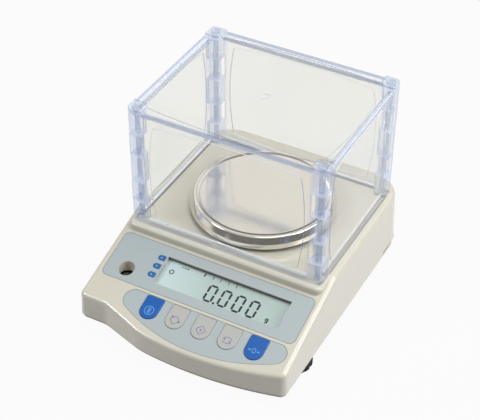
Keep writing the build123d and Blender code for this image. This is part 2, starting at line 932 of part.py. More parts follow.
def make_arm(height):
    """Flexure arm with a thin neck near each end and an open middle."""
    arm = block(
        -arm_width / 2, arm_width / 2, arm_front, arm_back,
        height - arm_thickness / 2, height + arm_thickness / 2,
    )
    neck_radius = (arm_thickness - arm_neck) / 2
    for y in (arm_front + arm_neck_inset, arm_back - arm_neck_inset):
        for side in (-1, 1):
            notch = Pos(0, y, height + side * arm_thickness / 2) * (
                Rot(0, 90, 0) * Cylinder(neck_radius, arm_width + 2 * over)
            )
            arm -= notch
    window_end = arm_neck_inset + 2 * neck_radius
    return arm - block(
        -arm_window_width / 2, arm_window_width / 2, arm_front + window_end, arm_back - window_end,
        height - arm_thickness, height + arm_thickness,
    )


def make_floating_column():
    """Column that the arms guide straight down."""
    half = column_width / 2
    column = block(-half, half, column_front, column_back, column_bottom, column_top)
    column = chamfer(column.edges().filter_by(Axis.Z), column_chamfer)
    low = lever_top + tongue_gap
    side = tongue_width / 2
    end = column_back + tongue_reach
    return column + block(-side, side, column_back - over, end, low, low + tongue_thickness)


def make_load_shaft():
    """Flanged shaft with a tapered tip that carries the pan."""
    tip_z = shaft_top - shaft_tip_length
    shaft = rod(0, shield_centre_y, column_top, column_top + shaft_flange_thickness, shaft_flange_diameter)
    shaft += rod(0, shield_centre_y, column_top + shaft_flange_thickness, tip_z, shaft_diameter)
    tip = Cone(shaft_diameter / 2, shaft_tip_diameter / 2, shaft_tip_length)
    return shaft + Pos(0, shield_centre_y, tip_z + shaft_tip_length / 2) * tip


def make_lever():
    """Lever on a necked fulcrum: the column presses its front end and its back end pulls the fork."""
    half = lever_width / 2
    lever = block(-half, half, lever_front, lever_front + lever_length, lever_bottom, lever_top)
    middle = column_back + fulcrum_setback
    front = middle - fulcrum_thickness / 2
    lever += block(-half, half, front, front + fulcrum_thickness, frame_deck, lever_bottom)
    radius = (fulcrum_thickness - fulcrum_neck) / 2
    for side in (-1, 1):
        notch = Rot(0, 90, 0) * Cylinder(radius, lever_width + 2 * over)
        y = middle + side * fulcrum_thickness / 2
        lever -= Pos(0, y, lever_bottom - fulcrum_neck_drop) * notch
    return lever


def make_tuning_fork():
    """Double-ended fork: two tines between a foot and a head."""
    half = fork_width / 2
    fork = block(-half, half, fork_y, fork_y + fork_thickness, frame_deck, lever_bottom)
    return fork - block(
        -fork_slot / 2, fork_slot / 2, fork_y - over, fork_y + fork_thickness + over,
        frame_deck + fork_root, lever_bottom - fork_root,
    )


def make_fork_piezos():
    """Drive and pick-up plates at the roots of the tines."""
    low = frame_deck + fork_root + fork_foot
    plates = []
    for side in (-1, 1):
        x = side * (fork_width + fork_slot) / 4
        plate = block(
            x - piezo_width / 2, x + piezo_width / 2, fork_y - piezo_thickness, fork_y,
            low, low + piezo_height,
        )
        plates.append(plate)
    return group(plates)


def make_stop_screw():
    """Overload stop under the floating column."""
    top = column_bottom - load_travel - stop_margin
    return rod(0, shield_centre_y, frame_floor + stop_base_gap, top, stop_diameter)


def make_main_board():
    """Main circuit board: a strip along the back, and a wing on the left behind a narrow neck."""
    front = main_board_back - main_board_strip
    neck_front = main_board_wing_back - main_board_neck_length
    plan = closed_face(
        [
            (main_board_right, main_board_back),
            (main_board_right, front),
            (main_board_wing_right + main_board_neck_width / 2, front),
            (main_board_wing_right + main_board_neck_width / 2, neck_front),
            (main_board_wing_right, neck_front),
            (main_board_wing_right, main_board_wing_front),
            (main_board_wing_left, main_board_wing_front),
            (main_board_wing_left, main_board_wing_back),
            (main_board_wing_right - main_board_neck_width / 2, main_board_wing_back),
            (main_board_wing_right - main_board_neck_width / 2, front + main_board_neck_length),
            (main_board_left, front + main_board_neck_length),
            (main_board_left, main_board_back),
        ]
    )
    board = flat_prism(plan, main_board_height, main_board_top)
    for x, y in board_screws:
        hole = board_screw_diameter + 2 * hole_gap
        board -= rod(x, y, main_board_height - over, main_board_top + over, hole)
    return board


def make_board_chips():
    """Packages and capacitors soldered to the main board."""
    x = main_board_wing_x
    y = (main_board_wing_front + main_board_wing_back) / 2
    top = main_board_top
    half = chip_size / 2
    plug_x = jack_x + plug_setback
    plug_y = main_board_back - plug_length
    return group(
        [
            block(x - half, x + half, y - half, y + half, top, top + chip_height),
            block(x - half, x, y - 3 * half, y - 2 * half, top, top + chip_height),
            rod(x, y + 2 * chip_size, top, top + capacitor_height, capacitor_diameter),
            block(
                plug_x, plug_x + plug_width, plug_y - plug_length / 2, plug_y + plug_length / 2,
                top, top + plug_height,
            ),
        ]
    )


def serial_shell(grow, y0, y1):
    """Tapered shell of the serial connector."""
    half = serial_shell_width / 2 + grow
    top = serial_shell_height / 2 + grow
    low = half - serial_shell_lean
    plan = closed_face([(-half, top), (half, top), (low, -top), (-low, -top)])
    plan = fillet(plan.vertices(), serial_shell_radius + grow)
    prism = extrude(Plane.XZ * plan, -(y1 - y0))
    return Pos(serial_x, y0, serial_z) * prism


def make_serial_port():
    """Nine-way connector: body on the board, flange plate and shell through the back wall."""
    half = serial_width / 2
    low = main_board_top
    high = low + serial_height
    flange_front = serial_plate_y - serial_plate
    port = block(
        serial_x - half + serial_body_inset, serial_x + half - serial_body_inset,
        flange_front - serial_body_depth, flange_front, low, high,
    )
    port += block(serial_x - half, serial_x + half, flange_front, serial_plate_y, low, high)
    reach = serial_plate_y + serial_shell_reach
    port += serial_shell(0, serial_plate_y, reach)
    inside = serial_shell(-serial_shell_wall, serial_plate_y + serial_shell_wall, reach + over)
    return port - inside


def make_jackscrew(side):
    """Hexagonal jackscrew beside the serial connector."""
    x = serial_x + side * serial_screw_pitch / 2
    hexagon = RegularPolygon(jackscrew_diameter / 2, 6)
    nut = Pos(x, serial_plate_y, serial_z) * extrude(Plane.XZ * hexagon, -serial_shell_reach)
    return nut - rod_back(x, serial_z, serial_plate_y + jackscrew_floor, half_depth + wall, jackscrew_bore)


def make_dc_jack():
    """Power inlet with its centre pin."""
    y1 = half_depth - jack_face_setback
    inner = half_depth - 2 * wall
    half = jack_diameter / 2
    body = block(
        jack_x - half, jack_x + half, inner - jack_body_length, inner,
        main_board_top, jack_z + half,
    )
    jack = body + rod_back(jack_x, jack_z, inner, y1, jack_diameter)
    floor = y1 - jack_hole_depth
    jack -= rod_back(jack_x, jack_z, floor, y1 + over, jack_hole_diameter)
    return jack + rod_back(jack_x, jack_z, floor - over, y1 - jack_pin_setback, jack_pin_diameter)


def ribbon_ends():
    """Where the ribbon leaves the display board's socket and reaches the main board's."""
    low = -board_depth - board_thickness - socket_height
    start = console.from_local_coords(Vector(ribbon_x, ribbon_board_t, low))
    return start, Vector(ribbon_x, ribbon_main_y, main_board_top + socket_height)


def make_ribbon_sockets():
    """The two sockets that the ribbon plugs into."""
    half = ribbon_width / 2 + socket_wall
    low = -board_depth - board_thickness
    plan = Pos(ribbon_x, ribbon_board_t) * Rectangle(2 * half, socket_length)
    first = on_console(plan, low - socket_height, low)
    second = block(
        ribbon_x - ribbon_width / 2, ribbon_x + ribbon_width / 2,
        ribbon_main_y - socket_length / 2, ribbon_main_y + socket_length / 2,
        main_board_top, main_board_top + socket_height,
    )
    return group([first, second])


def make_ribbon():
    """Flat cable between the display board and the main board."""
    start, end = ribbon_ends()
    down = console.z_dir * -1
    leave = start + down * ribbon_drop
    line = FilletPolyline(
        (start.Y, start.Z),
        (leave.Y, leave.Z),
        (end.Y, end.Z + ribbon_rise),
        (end.Y, end.Z),
        radius=ribbon_bend,
    )
    strip = Plane.YZ * trace(line, line_width=ribbon_thickness)
    cable = extrude(strip, ribbon_width / 2, both=True)
    cable = Pos(ribbon_x, 0, 0) * cable
    return cable - make_ribbon_sockets()


def make_pan_support():
    """Black carrier: rimmed disc, hub with a socket for the shaft, and four arms."""
    top = support_underside + support_sheet
    arm_top = pan_top - pan_sheet - cushion_height
    y = shield_centre_y
    support = rod(0, y, support_underside, top, support_diameter)
    rim = rod(0, y, top, top + support_rim_height, support_diameter)
    rim -= rod(0, y, top, top + support_rim_height, support_diameter - 2 * support_rim_width)
    support += rim
    support += rod(0, y, top, arm_top, support_hub_diameter)
    support += rod(0, y, support_underside - drip_skirt_depth, support_underside, drip_skirt_diameter)
    arm = block(0, support_arm_reach, -support_arm_width / 2, support_arm_width / 2, top, arm_top)
    arm += rod(cushion_radius_out, 0, top, arm_top, cushion_diameter)
    for i in range(support_arm_count):
        turn = support_arm_angle + 360 * i / support_arm_count
        support += Pos(0, y, 0) * (Rot(0, 0, turn) * arm)
    bore = shaft_diameter + 2 * shaft_fit
    return support - rod(0, y, support_underside - drip_skirt_depth - over, shaft_top, bore)


def make_pan_cushions():
    """Rubber cushions between the carrier and the pan."""
    cushions = []
    for i in range(support_arm_count):
        angle = math.radians(support_arm_angle + 360 * i / support_arm_count)
        x = cushion_radius_out * math.cos(angle)
        y = shield_centre_y + cushion_radius_out * math.sin(angle)
        top = pan_top - pan_sheet
        cushions.append(rod(x, y, top - cushion_height, top, cushion_diameter - 1))
    return group(cushions)


def make_weighing_pan():
    """Spun steel pan with a rolled bead and a flared skirt."""
    bead_middle = (pan_flat_radius + pan_bead_radius) / 2
    lip = pan_diameter / 2
    outside = Polyline((0, pan_top), (pan_flat_radius, pan_top))
    outside += ThreePointArc(
        (pan_flat_radius, pan_top),
        (bead_middle, pan_top + pan_bead_height),
        (pan_bead_radius, pan_top),
    )
    outside += ThreePointArc(
        (pan_bead_radius, pan_top),
        (pan_shoulder_radius, pan_shoulder_height),
        (lip, pan_skirt_height),
    )
    outside += Polyline(
        (lip, pan_skirt_height),
        (lip - pan_sheet, pan_skirt_height),
        (pan_shoulder_radius - pan_sheet, pan_shoulder_height),
        (pan_bead_radius - pan_sheet / 2, pan_top - pan_sheet),
        (0, pan_top - pan_sheet),
        (0, pan_top),
    )
    section = Plane.XZ * make_face(outside)
    return Pos(0, shield_centre_y, 0) * revolve(section, Axis.Z)


def bowed_window(width, height, border, bow):
    """Opening whose sides bow outwards between the corners."""
    w = width / 2 - border
    h = height / 2 - border
    curve = ThreePointArc((-w, -h), (0, -h - bow), (w, -h))
    curve += ThreePointArc((w, -h), (w + bow, 0), (w, h))
    curve += ThreePointArc((w, h), (0, h + bow), (-w, h))
    curve += ThreePointArc((-w, h), (-w - bow, 0), (-w, -h))
    return make_face(curve)


def knuckle_spans():
    """Low and high ends of the knuckles, with those of front and back panels at even places."""
    lengths = [end_knuckle, recessed_knuckle, middle_knuckle, recessed_knuckle, end_knuckle]
    spans = []
    low = deck_height
    for length in lengths:
        spans.append((low, low + length))
        low += length
    return spans


def post_plan(x_side, y_side):
    """Rounded corner block of a front or back panel, as seen from above."""
    x = shield_width / 2
    y = shield_depth / 2
    plan = closed_face(
        [(x, y - post_size), (x, y), (x - post_size, y), (x - post_size, y - post_size)]
    )
    inner = corners(plan, lambda u, v: u < x - post_size + near and v < y - post_size + near)
    plan = fillet(inner, post_inner_radius)
    outer = corners(plan, lambda u, v: u > x - near and v > y - near)
    plan = fillet(outer, post_corner_radius)
    if x_side < 0:
        plan = mirror(plan, Plane.YZ)
    if y_side < 0:
        plan = mirror(plan, Plane.XZ)
    return Pos(0, shield_centre_y) * plan


def make_cross_panel(y_side):
    """Front or back wall of the shield with its rounded corner knuckles and foot rail."""
    face_y = shield_centre_y + y_side * shield_depth / 2
    inner_y = face_y - y_side * panel_thickness
    rail_y = face_y - y_side * rail_width
    half = shield_width / 2 - post_size
    panel = block(-half, half, min(face_y, inner_y), max(face_y, inner_y), deck_height, lid_underside)
    panel += block(
        -half, half, min(face_y, rail_y), max(face_y, rail_y), deck_height, deck_height + rail_height
    )
    window = bowed_window(2 * half, panel_height, window_border, window_bow)
    window = Plane.XZ * (Pos(0, deck_height + panel_height / 2) * window)
    recess = extrude(window, window_recess / 2, both=True)
    panel -= Pos(0, inner_y + y_side * window_recess / 2, 0) * recess
    for side in (-1, 1):
        for low, high in knuckle_spans()[::2]:
            gap_low = knuckle_gap / 2 if low > deck_height else 0
            gap_high = knuckle_gap / 2 if high < lid_underside else 0
            panel += flat_prism(post_plan(side, y_side), low + gap_low, high - gap_high)
        x = side * post_x
        y = shield_centre_y + y_side * post_y
        hole = pin_diameter + 2 * pin_clearance
        panel -= rod(x, y, deck_height + pin_floor, lid_underside + over, hole)
    if y_side < 0:
        for side in (-1, 1):
            x = side * rail_notch_x
            panel -= block(
                x - rail_notch_width / 2, x + rail_notch_width / 2,
                inner_y, rail_y + over, deck_height + rail_height - over, deck_height + rail_height + over,
            )
    return panel


def make_side_panel(x_side):
    """Left or right wall of the shield with its round barrel knuckles and foot rail."""
    face_x = x_side * shield_width / 2
    inner_x = face_x - x_side * panel_thickness
    rail_x = face_x - x_side * rail_width
    y0 = shield_front_y + post_size
    y1 = shield_back_y - post_size
    panel = block(min(face_x, inner_x), max(face_x, inner_x), y0, y1, deck_height, lid_underside)
    panel += block(min(face_x, rail_x), max(face_x, rail_x), y0, y1, deck_height, deck_height + rail_height)
    window = bowed_window(y1 - y0, panel_height, window_border, window_bow)
    window = Plane.YZ * (Pos(shield_centre_y, deck_height + panel_height / 2) * window)
    recess = extrude(window, window_recess / 2, both=True)
    panel -= Pos(inner_x + x_side * window_recess / 2, 0, 0) * recess
    web_out = face_x - x_side * web_setback
    web_in = web_out - x_side * web_thickness
    for y_side in (-1, 1):
        x = x_side * post_x
        y = shield_centre_y + y_side * post_y
        plate_end = shield_centre_y + y_side * (shield_depth / 2 - post_size)
        for low, high in knuckle_spans()[1::2]:
            knuckle = rod(x, y, low + knuckle_gap / 2, high - knuckle_gap / 2, barrel_diameter)
            knuckle += block(
                min(web_out, web_in), max(web_out, web_in), min(y, plate_end), max(y, plate_end),
                low + knuckle_gap / 2, high - knuckle_gap / 2,
            )
            cheek_in = web_out - x_side * cheek_thickness
            cheek_end = shield_centre_y + y_side * (shield_depth / 2 - cheek_setback)
            knuckle += block(
                min(web_out, cheek_in), max(web_out, cheek_in), min(y, cheek_end), max(y, cheek_end),
                low + knuckle_gap / 2, high - knuckle_gap / 2,
            )
            panel += knuckle
        panel -= rod(x, y, deck_height - over, lid_underside + over, pin_diameter + 2 * pin_clearance)
        stud_y = shield_centre_y + y_side * rail_stud_y
        stud_x = face_x - x_side * rail_width / 2
        top = deck_height + rail_height
        panel += rod(stud_x, stud_y, top, top + rail_stud_height, rail_stud_diameter)
    return panel


def make_corner_pin(x_side, y_side):
    """Headed pin through all the knuckles of a corner."""
    x = x_side * post_x
    y = shield_centre_y + y_side * post_y
    pin = rod(x, y, deck_height + pin_floor, lid_underside, pin_diameter)
    head = rod(x, y, lid_underside, lid_underside + pin_head_height, pin_head_diameter)
    return pin + chamfer(head.edges().sort_by(Axis.Z)[-1], pin_head_edge)


def make_lid_cap(x_side, y_side):
    """Raised corner of the lid round a pin's head, in the corner's own shape."""
    x = x_side * (shield_width - lid_cap_size) / 2
    y = y_side * (shield_depth - lid_cap_size) / 2
    plan = Pos(x, y) * Rectangle(lid_cap_size, lid_cap_size)
    outer = corners(plan, lambda u, v: u * x_side > abs(x) and v * y_side > abs(y))
    plan = fillet(outer, post_corner_radius)
    inner = corners(plan, lambda u, v: u * x_side < abs(x) and v * y_side < abs(y))
    plan = fillet(inner, lid_cap_inner_radius)
    cap = flat_prism(plan, shield_top - lid_recess - over, shield_top + lid_cap_height)
    return chamfer(cap.faces().sort_by(Axis.Z)[-1].edges(), lid_cap_edge)


def make_shield_lid():
    """Clear lid with a bowed recess on top and a locating lip below."""
    y = shield_centre_y
    plan = Rectangle(shield_width, shield_depth)
    plan = fillet(plan.vertices(), post_corner_radius)
    lid = flat_prism(Pos(0, y) * plan, lid_underside, shield_top)
    recess = bowed_window(shield_width, shield_depth, lid_border, lid_bow)
    lid -= flat_prism(Pos(0, y) * recess, shield_top - lid_recess, shield_top + over)
    lid -= rod(0, y, shield_top - lid_recess - lid_dimple_depth, shield_top, 2 * lid_dimple_radius)
    lip_x = shield_width - 2 * (panel_thickness + lip_clearance)
    lip_y = shield_depth - 2 * (panel_thickness + lip_clearance)
    lip = Rectangle(lip_x, lip_y) - Rectangle(lip_x - 2 * lip_width, lip_y - 2 * lip_width)
    lip = flat_prism(Pos(0, y) * lip, lid_underside - lip_depth, lid_underside)
    reach = post_size + lip_clearance
    for x_side in (-1, 1):
        for y_side in (-1, 1):
            x = x_side * (shield_width / 2 - reach / 2)
            corner_y = y + y_side * (shield_depth / 2 - reach / 2)
            lip -= Pos(x, corner_y, lid_underside - lip_depth / 2) * Box(reach, reach, 2 * lip_depth)
    lid += lip
    for x_side in (-1, 1):
        for y_side in (-1, 1):
            lid += Pos(0, y) * make_lid_cap(x_side, y_side)
            hole = pin_head_diameter + 2 * pin_head_gap
            top = shield_top + lid_cap_height + over
            lid -= rod(x_side * post_x, y + y_side * post_y, lid_underside - over, top, hole)
    return lid


parts = {
    "upper_housing": make_upper_housing(),
    "lower_housing": make_lower_housing(),
    "housing_screws": group([screw_up(x, y) for x, y in screw_places]),
    "foot_inserts": group([make_insert(x, y) for x, y in foot_places]),
    "display_label": make_display_label(),
    "keypad_label": make_keypad_label(),
    "lcd_window": make_lcd_window(),
    "lcd_panel": make_lcd_panel(),
    "lcd_frame": make_lcd_frame(),
    "display_board": make_display_board(),
    "display_board_screws": group([make_display_screw(x, t) for x, t in display_posts]),
    "key_switches": group([make_switch(x) for x in key_centres()]),
    "vial_holder": make_vial_holder(),
    "level_vial": make_vial(),
    "vial_liquid": make_vial_liquid(),
    "vial_lens": make_vial_lens(),
    "sensor_frame": make_sensor_frame(),
    "sensor_frame_screws": group(
        [
            screw_down(x, y, frame_deck, frame_screw_length, screw_diameter, screw_head_diameter)
            for x, y in frame_screws
        ]
    ),
    "upper_flexure_arm": make_arm(upper_arm_height),
    "lower_flexure_arm": make_arm(lower_arm_height),
    "floating_column": make_floating_column(),
    "load_shaft": make_load_shaft(),
    "fork_lever": make_lever(),
    "tuning_fork": make_tuning_fork(),
    "fork_piezos": make_fork_piezos(),
    "overload_stop_screw": make_stop_screw(),
    "main_board": make_main_board(),
    "main_board_chips": make_board_chips(),
    "main_board_screws": group(
        [
            screw_down(x, y, main_board_top, board_screw_length, board_screw_diameter, board_screw_head)
            for x, y in board_screws
        ]
    ),
    "serial_port": make_serial_port(),
    "serial_jackscrews": group([make_jackscrew(side) for side in (-1, 1)]),
    "dc_jack": make_dc_jack(),
    "ribbon_sockets": make_ribbon_sockets(),
    "ribbon_cable": make_ribbon(),
    "pan_support": make_pan_support(),
    "pan_cushions": make_pan_cushions(),
    "weighing_pan": make_weighing_pan(),
    "shield_front_panel": make_cross_panel(-1),
    "shield_back_panel": make_cross_panel(1),
    "shield_left_panel": make_side_panel(-1),
    "shield_right_panel": make_side_panel(1),
    "shield_corner_pins": group([make_corner_pin(x, y) for x in (-1, 1) for y in (-1, 1)]),
    "shield_lid": make_shield_lid(),
}
for number, x in enumerate(key_centres(), start=1):
    parts[f"key_{number}"] = make_key(x)
for number, (x, y) in enumerate(foot_places, start=1):
    parts[f"foot_knob_{number}"] = make_foot_knob(x, y)
    parts[f"foot_stud_{number}"] = make_foot_stud(x, y)

os.makedirs("parts", exist_ok=True)
for name, shape in parts.items():
    export_step(shape, f"parts/{name}.step")
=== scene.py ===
"""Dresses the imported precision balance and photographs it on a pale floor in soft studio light.

Lengths are in metres. +X is to the right as the user faces the display, +Y points to the back and +Z is up.
"""

from __future__ import annotations

import functools
import json
import logging
import math
from dataclasses import dataclass
from enum import Enum
from typing import Any, Sequence, Union

import bmesh
import bpy
from mathutils import Matrix, Vector

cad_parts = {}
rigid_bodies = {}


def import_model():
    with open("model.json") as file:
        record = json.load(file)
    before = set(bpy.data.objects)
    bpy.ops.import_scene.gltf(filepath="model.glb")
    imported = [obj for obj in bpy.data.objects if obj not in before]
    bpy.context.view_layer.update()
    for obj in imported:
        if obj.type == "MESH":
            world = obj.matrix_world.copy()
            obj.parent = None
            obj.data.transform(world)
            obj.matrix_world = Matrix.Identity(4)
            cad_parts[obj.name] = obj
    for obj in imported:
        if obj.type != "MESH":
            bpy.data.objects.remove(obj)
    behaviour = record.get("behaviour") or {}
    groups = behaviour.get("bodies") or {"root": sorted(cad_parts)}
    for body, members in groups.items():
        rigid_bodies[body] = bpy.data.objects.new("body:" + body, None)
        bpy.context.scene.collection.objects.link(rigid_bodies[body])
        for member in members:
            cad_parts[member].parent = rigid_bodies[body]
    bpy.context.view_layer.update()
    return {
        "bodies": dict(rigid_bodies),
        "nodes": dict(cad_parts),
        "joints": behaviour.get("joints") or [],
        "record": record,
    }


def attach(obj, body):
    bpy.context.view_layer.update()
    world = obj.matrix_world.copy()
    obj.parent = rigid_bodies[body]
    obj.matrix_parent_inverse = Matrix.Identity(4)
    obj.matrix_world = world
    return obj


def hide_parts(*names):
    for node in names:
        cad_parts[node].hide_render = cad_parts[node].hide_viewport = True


MM = 0.001
WHITE = (1.0, 1.0, 1.0)
NOISE_LOW, NOISE_HIGH = 0.2, 0.8
LOG = logging.getLogger("balance")
Point = tuple[float, float]
Colour = tuple[float, float, float]


def srgb(red: int, green: int, blue: int) -> Colour:
    """Turns a colour read off a screen into the linear colour that shaders take.

    Args:
        red: Red, 0 to 255.
        green: Green, 0 to 255.
        blue: Blue, 0 to 255.

    Returns:
        The linear colour, 0 to 1.
    """

    def linear(level: int) -> float:
        """One channel on the standard screen curve."""
        part = level / 255
        return part / 12.92 if part <= 0.04045 else ((part + 0.055) / 1.055) ** 2.4

    return (linear(red), linear(green), linear(blue))


def shaded(colour: Colour, factor: float) -> Colour:
    """A darker or lighter version of a colour."""
    return tuple(min(1.0, channel * factor) for channel in colour)


# Node trees


class Sock:
    """A node's output. Python operators on it add Math nodes to its tree."""

    def __init__(self, owner: NodeTree, socket: bpy.types.NodeSocket) -> None:
        """Wraps one output socket of a tree."""
        self.owner = owner
        self.socket = socket

    def _math(self, operation: str, *values: Value) -> Sock:
        """Adds a Math node with these values on its sockets."""
        return self.owner.value("ShaderNodeMath", {"operation": operation}, dict(enumerate(values)))

    def __add__(self, other: Value) -> Sock:
        """self + other."""
        return self._math("ADD", self, other)

    __radd__ = __add__

    def __mul__(self, other: Value) -> Sock:
        """self * other."""
        return self._math("MULTIPLY", self, other)

    __rmul__ = __mul__

    def __sub__(self, other: Value) -> Sock:
        """self - other."""
        return self._math("SUBTRACT", self, other)

    def __rsub__(self, other: Value) -> Sock:
        """other - self."""
        return self._math("SUBTRACT", other, self)

    def __truediv__(self, other: Value) -> Sock:
        """self / other."""
        return self._math("DIVIDE", self, other)

    def __abs__(self) -> Sock:
        """The size of self without its sign."""
        return self._math("ABSOLUTE", self)

    def sine(self) -> Sock:
        """The sine of self in radians."""
        return self._math("SINE", self)

    def cosine(self) -> Sock:
        """The cosine of self in radians."""
        return self._math("COSINE", self)

    def highest(self, other: Value) -> Sock:
        """The larger of self and other."""
        return self._math("MAXIMUM", self, other)


Value = Union[Sock, float, int]


class NodeTree:
    """A shader or geometry tree under construction. One method makes every node."""

    def __init__(self, tree: bpy.types.NodeTree) -> None:
        """Starts with an empty tree."""
        self.tree = tree
        tree.nodes.clear()

    def node(
        self,
        kind: str,
        settings: dict[str, Any] | None = None,
        inputs: dict[int | str, Any] | None = None,
    ) -> bpy.types.Node:
        """Adds a node, sets its settings first and then its sockets.

        Args:
            kind: The node's type.
            settings: Properties of the node.
            inputs: Values or links by the socket's name or number. A list links several to one socket.

        Returns:
            The new node.
        """
        node = self.tree.nodes.new(kind)
        for name, setting in (settings or {}).items():
            setattr(node, name, setting)
        for key, entry in (inputs or {}).items():
            for item in entry if isinstance(entry, list) else [entry]:
                if isinstance(item, Sock):
                    self.tree.links.new(item.socket, node.inputs[key])
                else:
                    node.inputs[key].default_value = item
        return node

    def value(
        self,
        kind: str,
        settings: dict[str, Any] | None = None,
        inputs: dict[int | str, Any] | None = None,
        output: int | str = 0,
    ) -> Sock:
        """Adds a node as node() does and returns one of its outputs."""
        return Sock(self, self.node(kind, settings, inputs).outputs[output])

    def span(
        self,
        value: Sock,
        low: Value,
        high: Value,
        to_low: float = 0.0,
        to_high: float = 1.0,
        smooth: bool = False,
    ) -> Sock:
        """Maps a value from one range to another and holds it at the ends.

        Args:
            value: What is mapped.
            low: The value that gives to_low.
            high: The value that gives to_high.
            to_low: The result at low and beyond it.
            to_high: The result at high and beyond it.
            smooth: Whether the result eases in and out.

        Returns:
            The mapped value.
        """
        return self.value(
            "ShaderNodeMapRange",
            {"interpolation_type": "SMOOTHSTEP" if smooth else "LINEAR"},
            {0: value, 1: low, 2: high, 3: to_low, 4: to_high},
        )

    def split(self, vector: Sock) -> tuple[Sock, Sock, Sock]:
        """The three parts of a vector."""
        node = self.node("ShaderNodeSeparateXYZ", inputs={0: vector})
        return tuple(Sock(self, output) for output in node.outputs)

    def vector(self, x: Value, y: Value, z: Value) -> Sock:
        """A vector from its parts."""
        return self.value("ShaderNodeCombineXYZ", inputs={0: x, 1: y, 2: z})


class Shader(NodeTree):
    """The nodes of one material."""

    def __init__(self, name: str) -> None:
        """Makes an empty material.

        Args:
            name: The material's name.
        """
        self.material = bpy.data.materials.new(name)
        self.material.use_nodes = True
        super().__init__(self.material.node_tree)

    def place(self, scale: Sequence[float] = (1, 1, 1), centre: Sequence[float] = (0, 0, 0)) -> Sock:
        """Object coordinates, moved to a centre and then scaled.

        Args:
            scale: How much finer a pattern is along each axis.
            centre: The point that becomes the origin.

        Returns:
            The coordinates.
        """
        here = self.value("ShaderNodeTexCoord", output="Object")
        offset = tuple(-c * s for c, s in zip(centre, scale))
        inputs = {"Vector": here, "Location": offset, "Scale": tuple(scale)}
        return self.value("ShaderNodeMapping", inputs=inputs)

    def noise(self, place: Sock, scale: float, detail: float = 2.0) -> Sock:
        """A noise pattern, 0 to 1."""
        return self.value("ShaderNodeTexNoise", inputs={"Vector": place, "Scale": scale, "Detail": detail})

    def uneven(self, pattern: Sock, level: float, below: float, above: float) -> Sock:
        """A level that a noise pattern carries from a little below it to a little above it."""
        return self.span(pattern, NOISE_LOW, NOISE_HIGH, level - below, level + above)

    def mix(self, factor: Value, first: Any, second: Any) -> Sock:
        """Mixes two colours.

        Args:
            factor: 0 for the first, 1 for the second.
            first: A colour or a socket.
            second: A colour or a socket.

        Returns:
            The mixed colour.
        """
        pair = [c if isinstance(c, Sock) else (*c, 1.0) for c in (first, second)]
        inputs = {0: factor, 6: pair[0], 7: pair[1]}
        return self.value("ShaderNodeMix", {"data_type": "RGBA"}, inputs, output=2)

    def bump(self, height: Sock, depth: float) -> Sock:
        """A normal from a height pattern; depth is the pattern's full height in metres."""
        return self.value("ShaderNodeBump", inputs={"Height": height, "Distance": depth})

    def blend(self, factor: Value, first: Sock, second: Sock) -> Sock:
        """Mixes two surfaces."""
        return self.value("ShaderNodeMixShader", inputs={0: factor, 1: first, 2: second})

    def principled(self, sockets: dict[str, Any]) -> Sock:
        """A Principled shader with these sockets set."""
        full = {key: (*v, 1.0) if isinstance(v, tuple) and len(v) == 3 else v for key, v in sockets.items()}
        return self.value("ShaderNodeBsdfPrincipled", inputs=full)

    def show(self, surface: Sock) -> None:
        """Ends the tree with this surface."""
        self.node("ShaderNodeOutputMaterial", inputs={"Surface": surface})


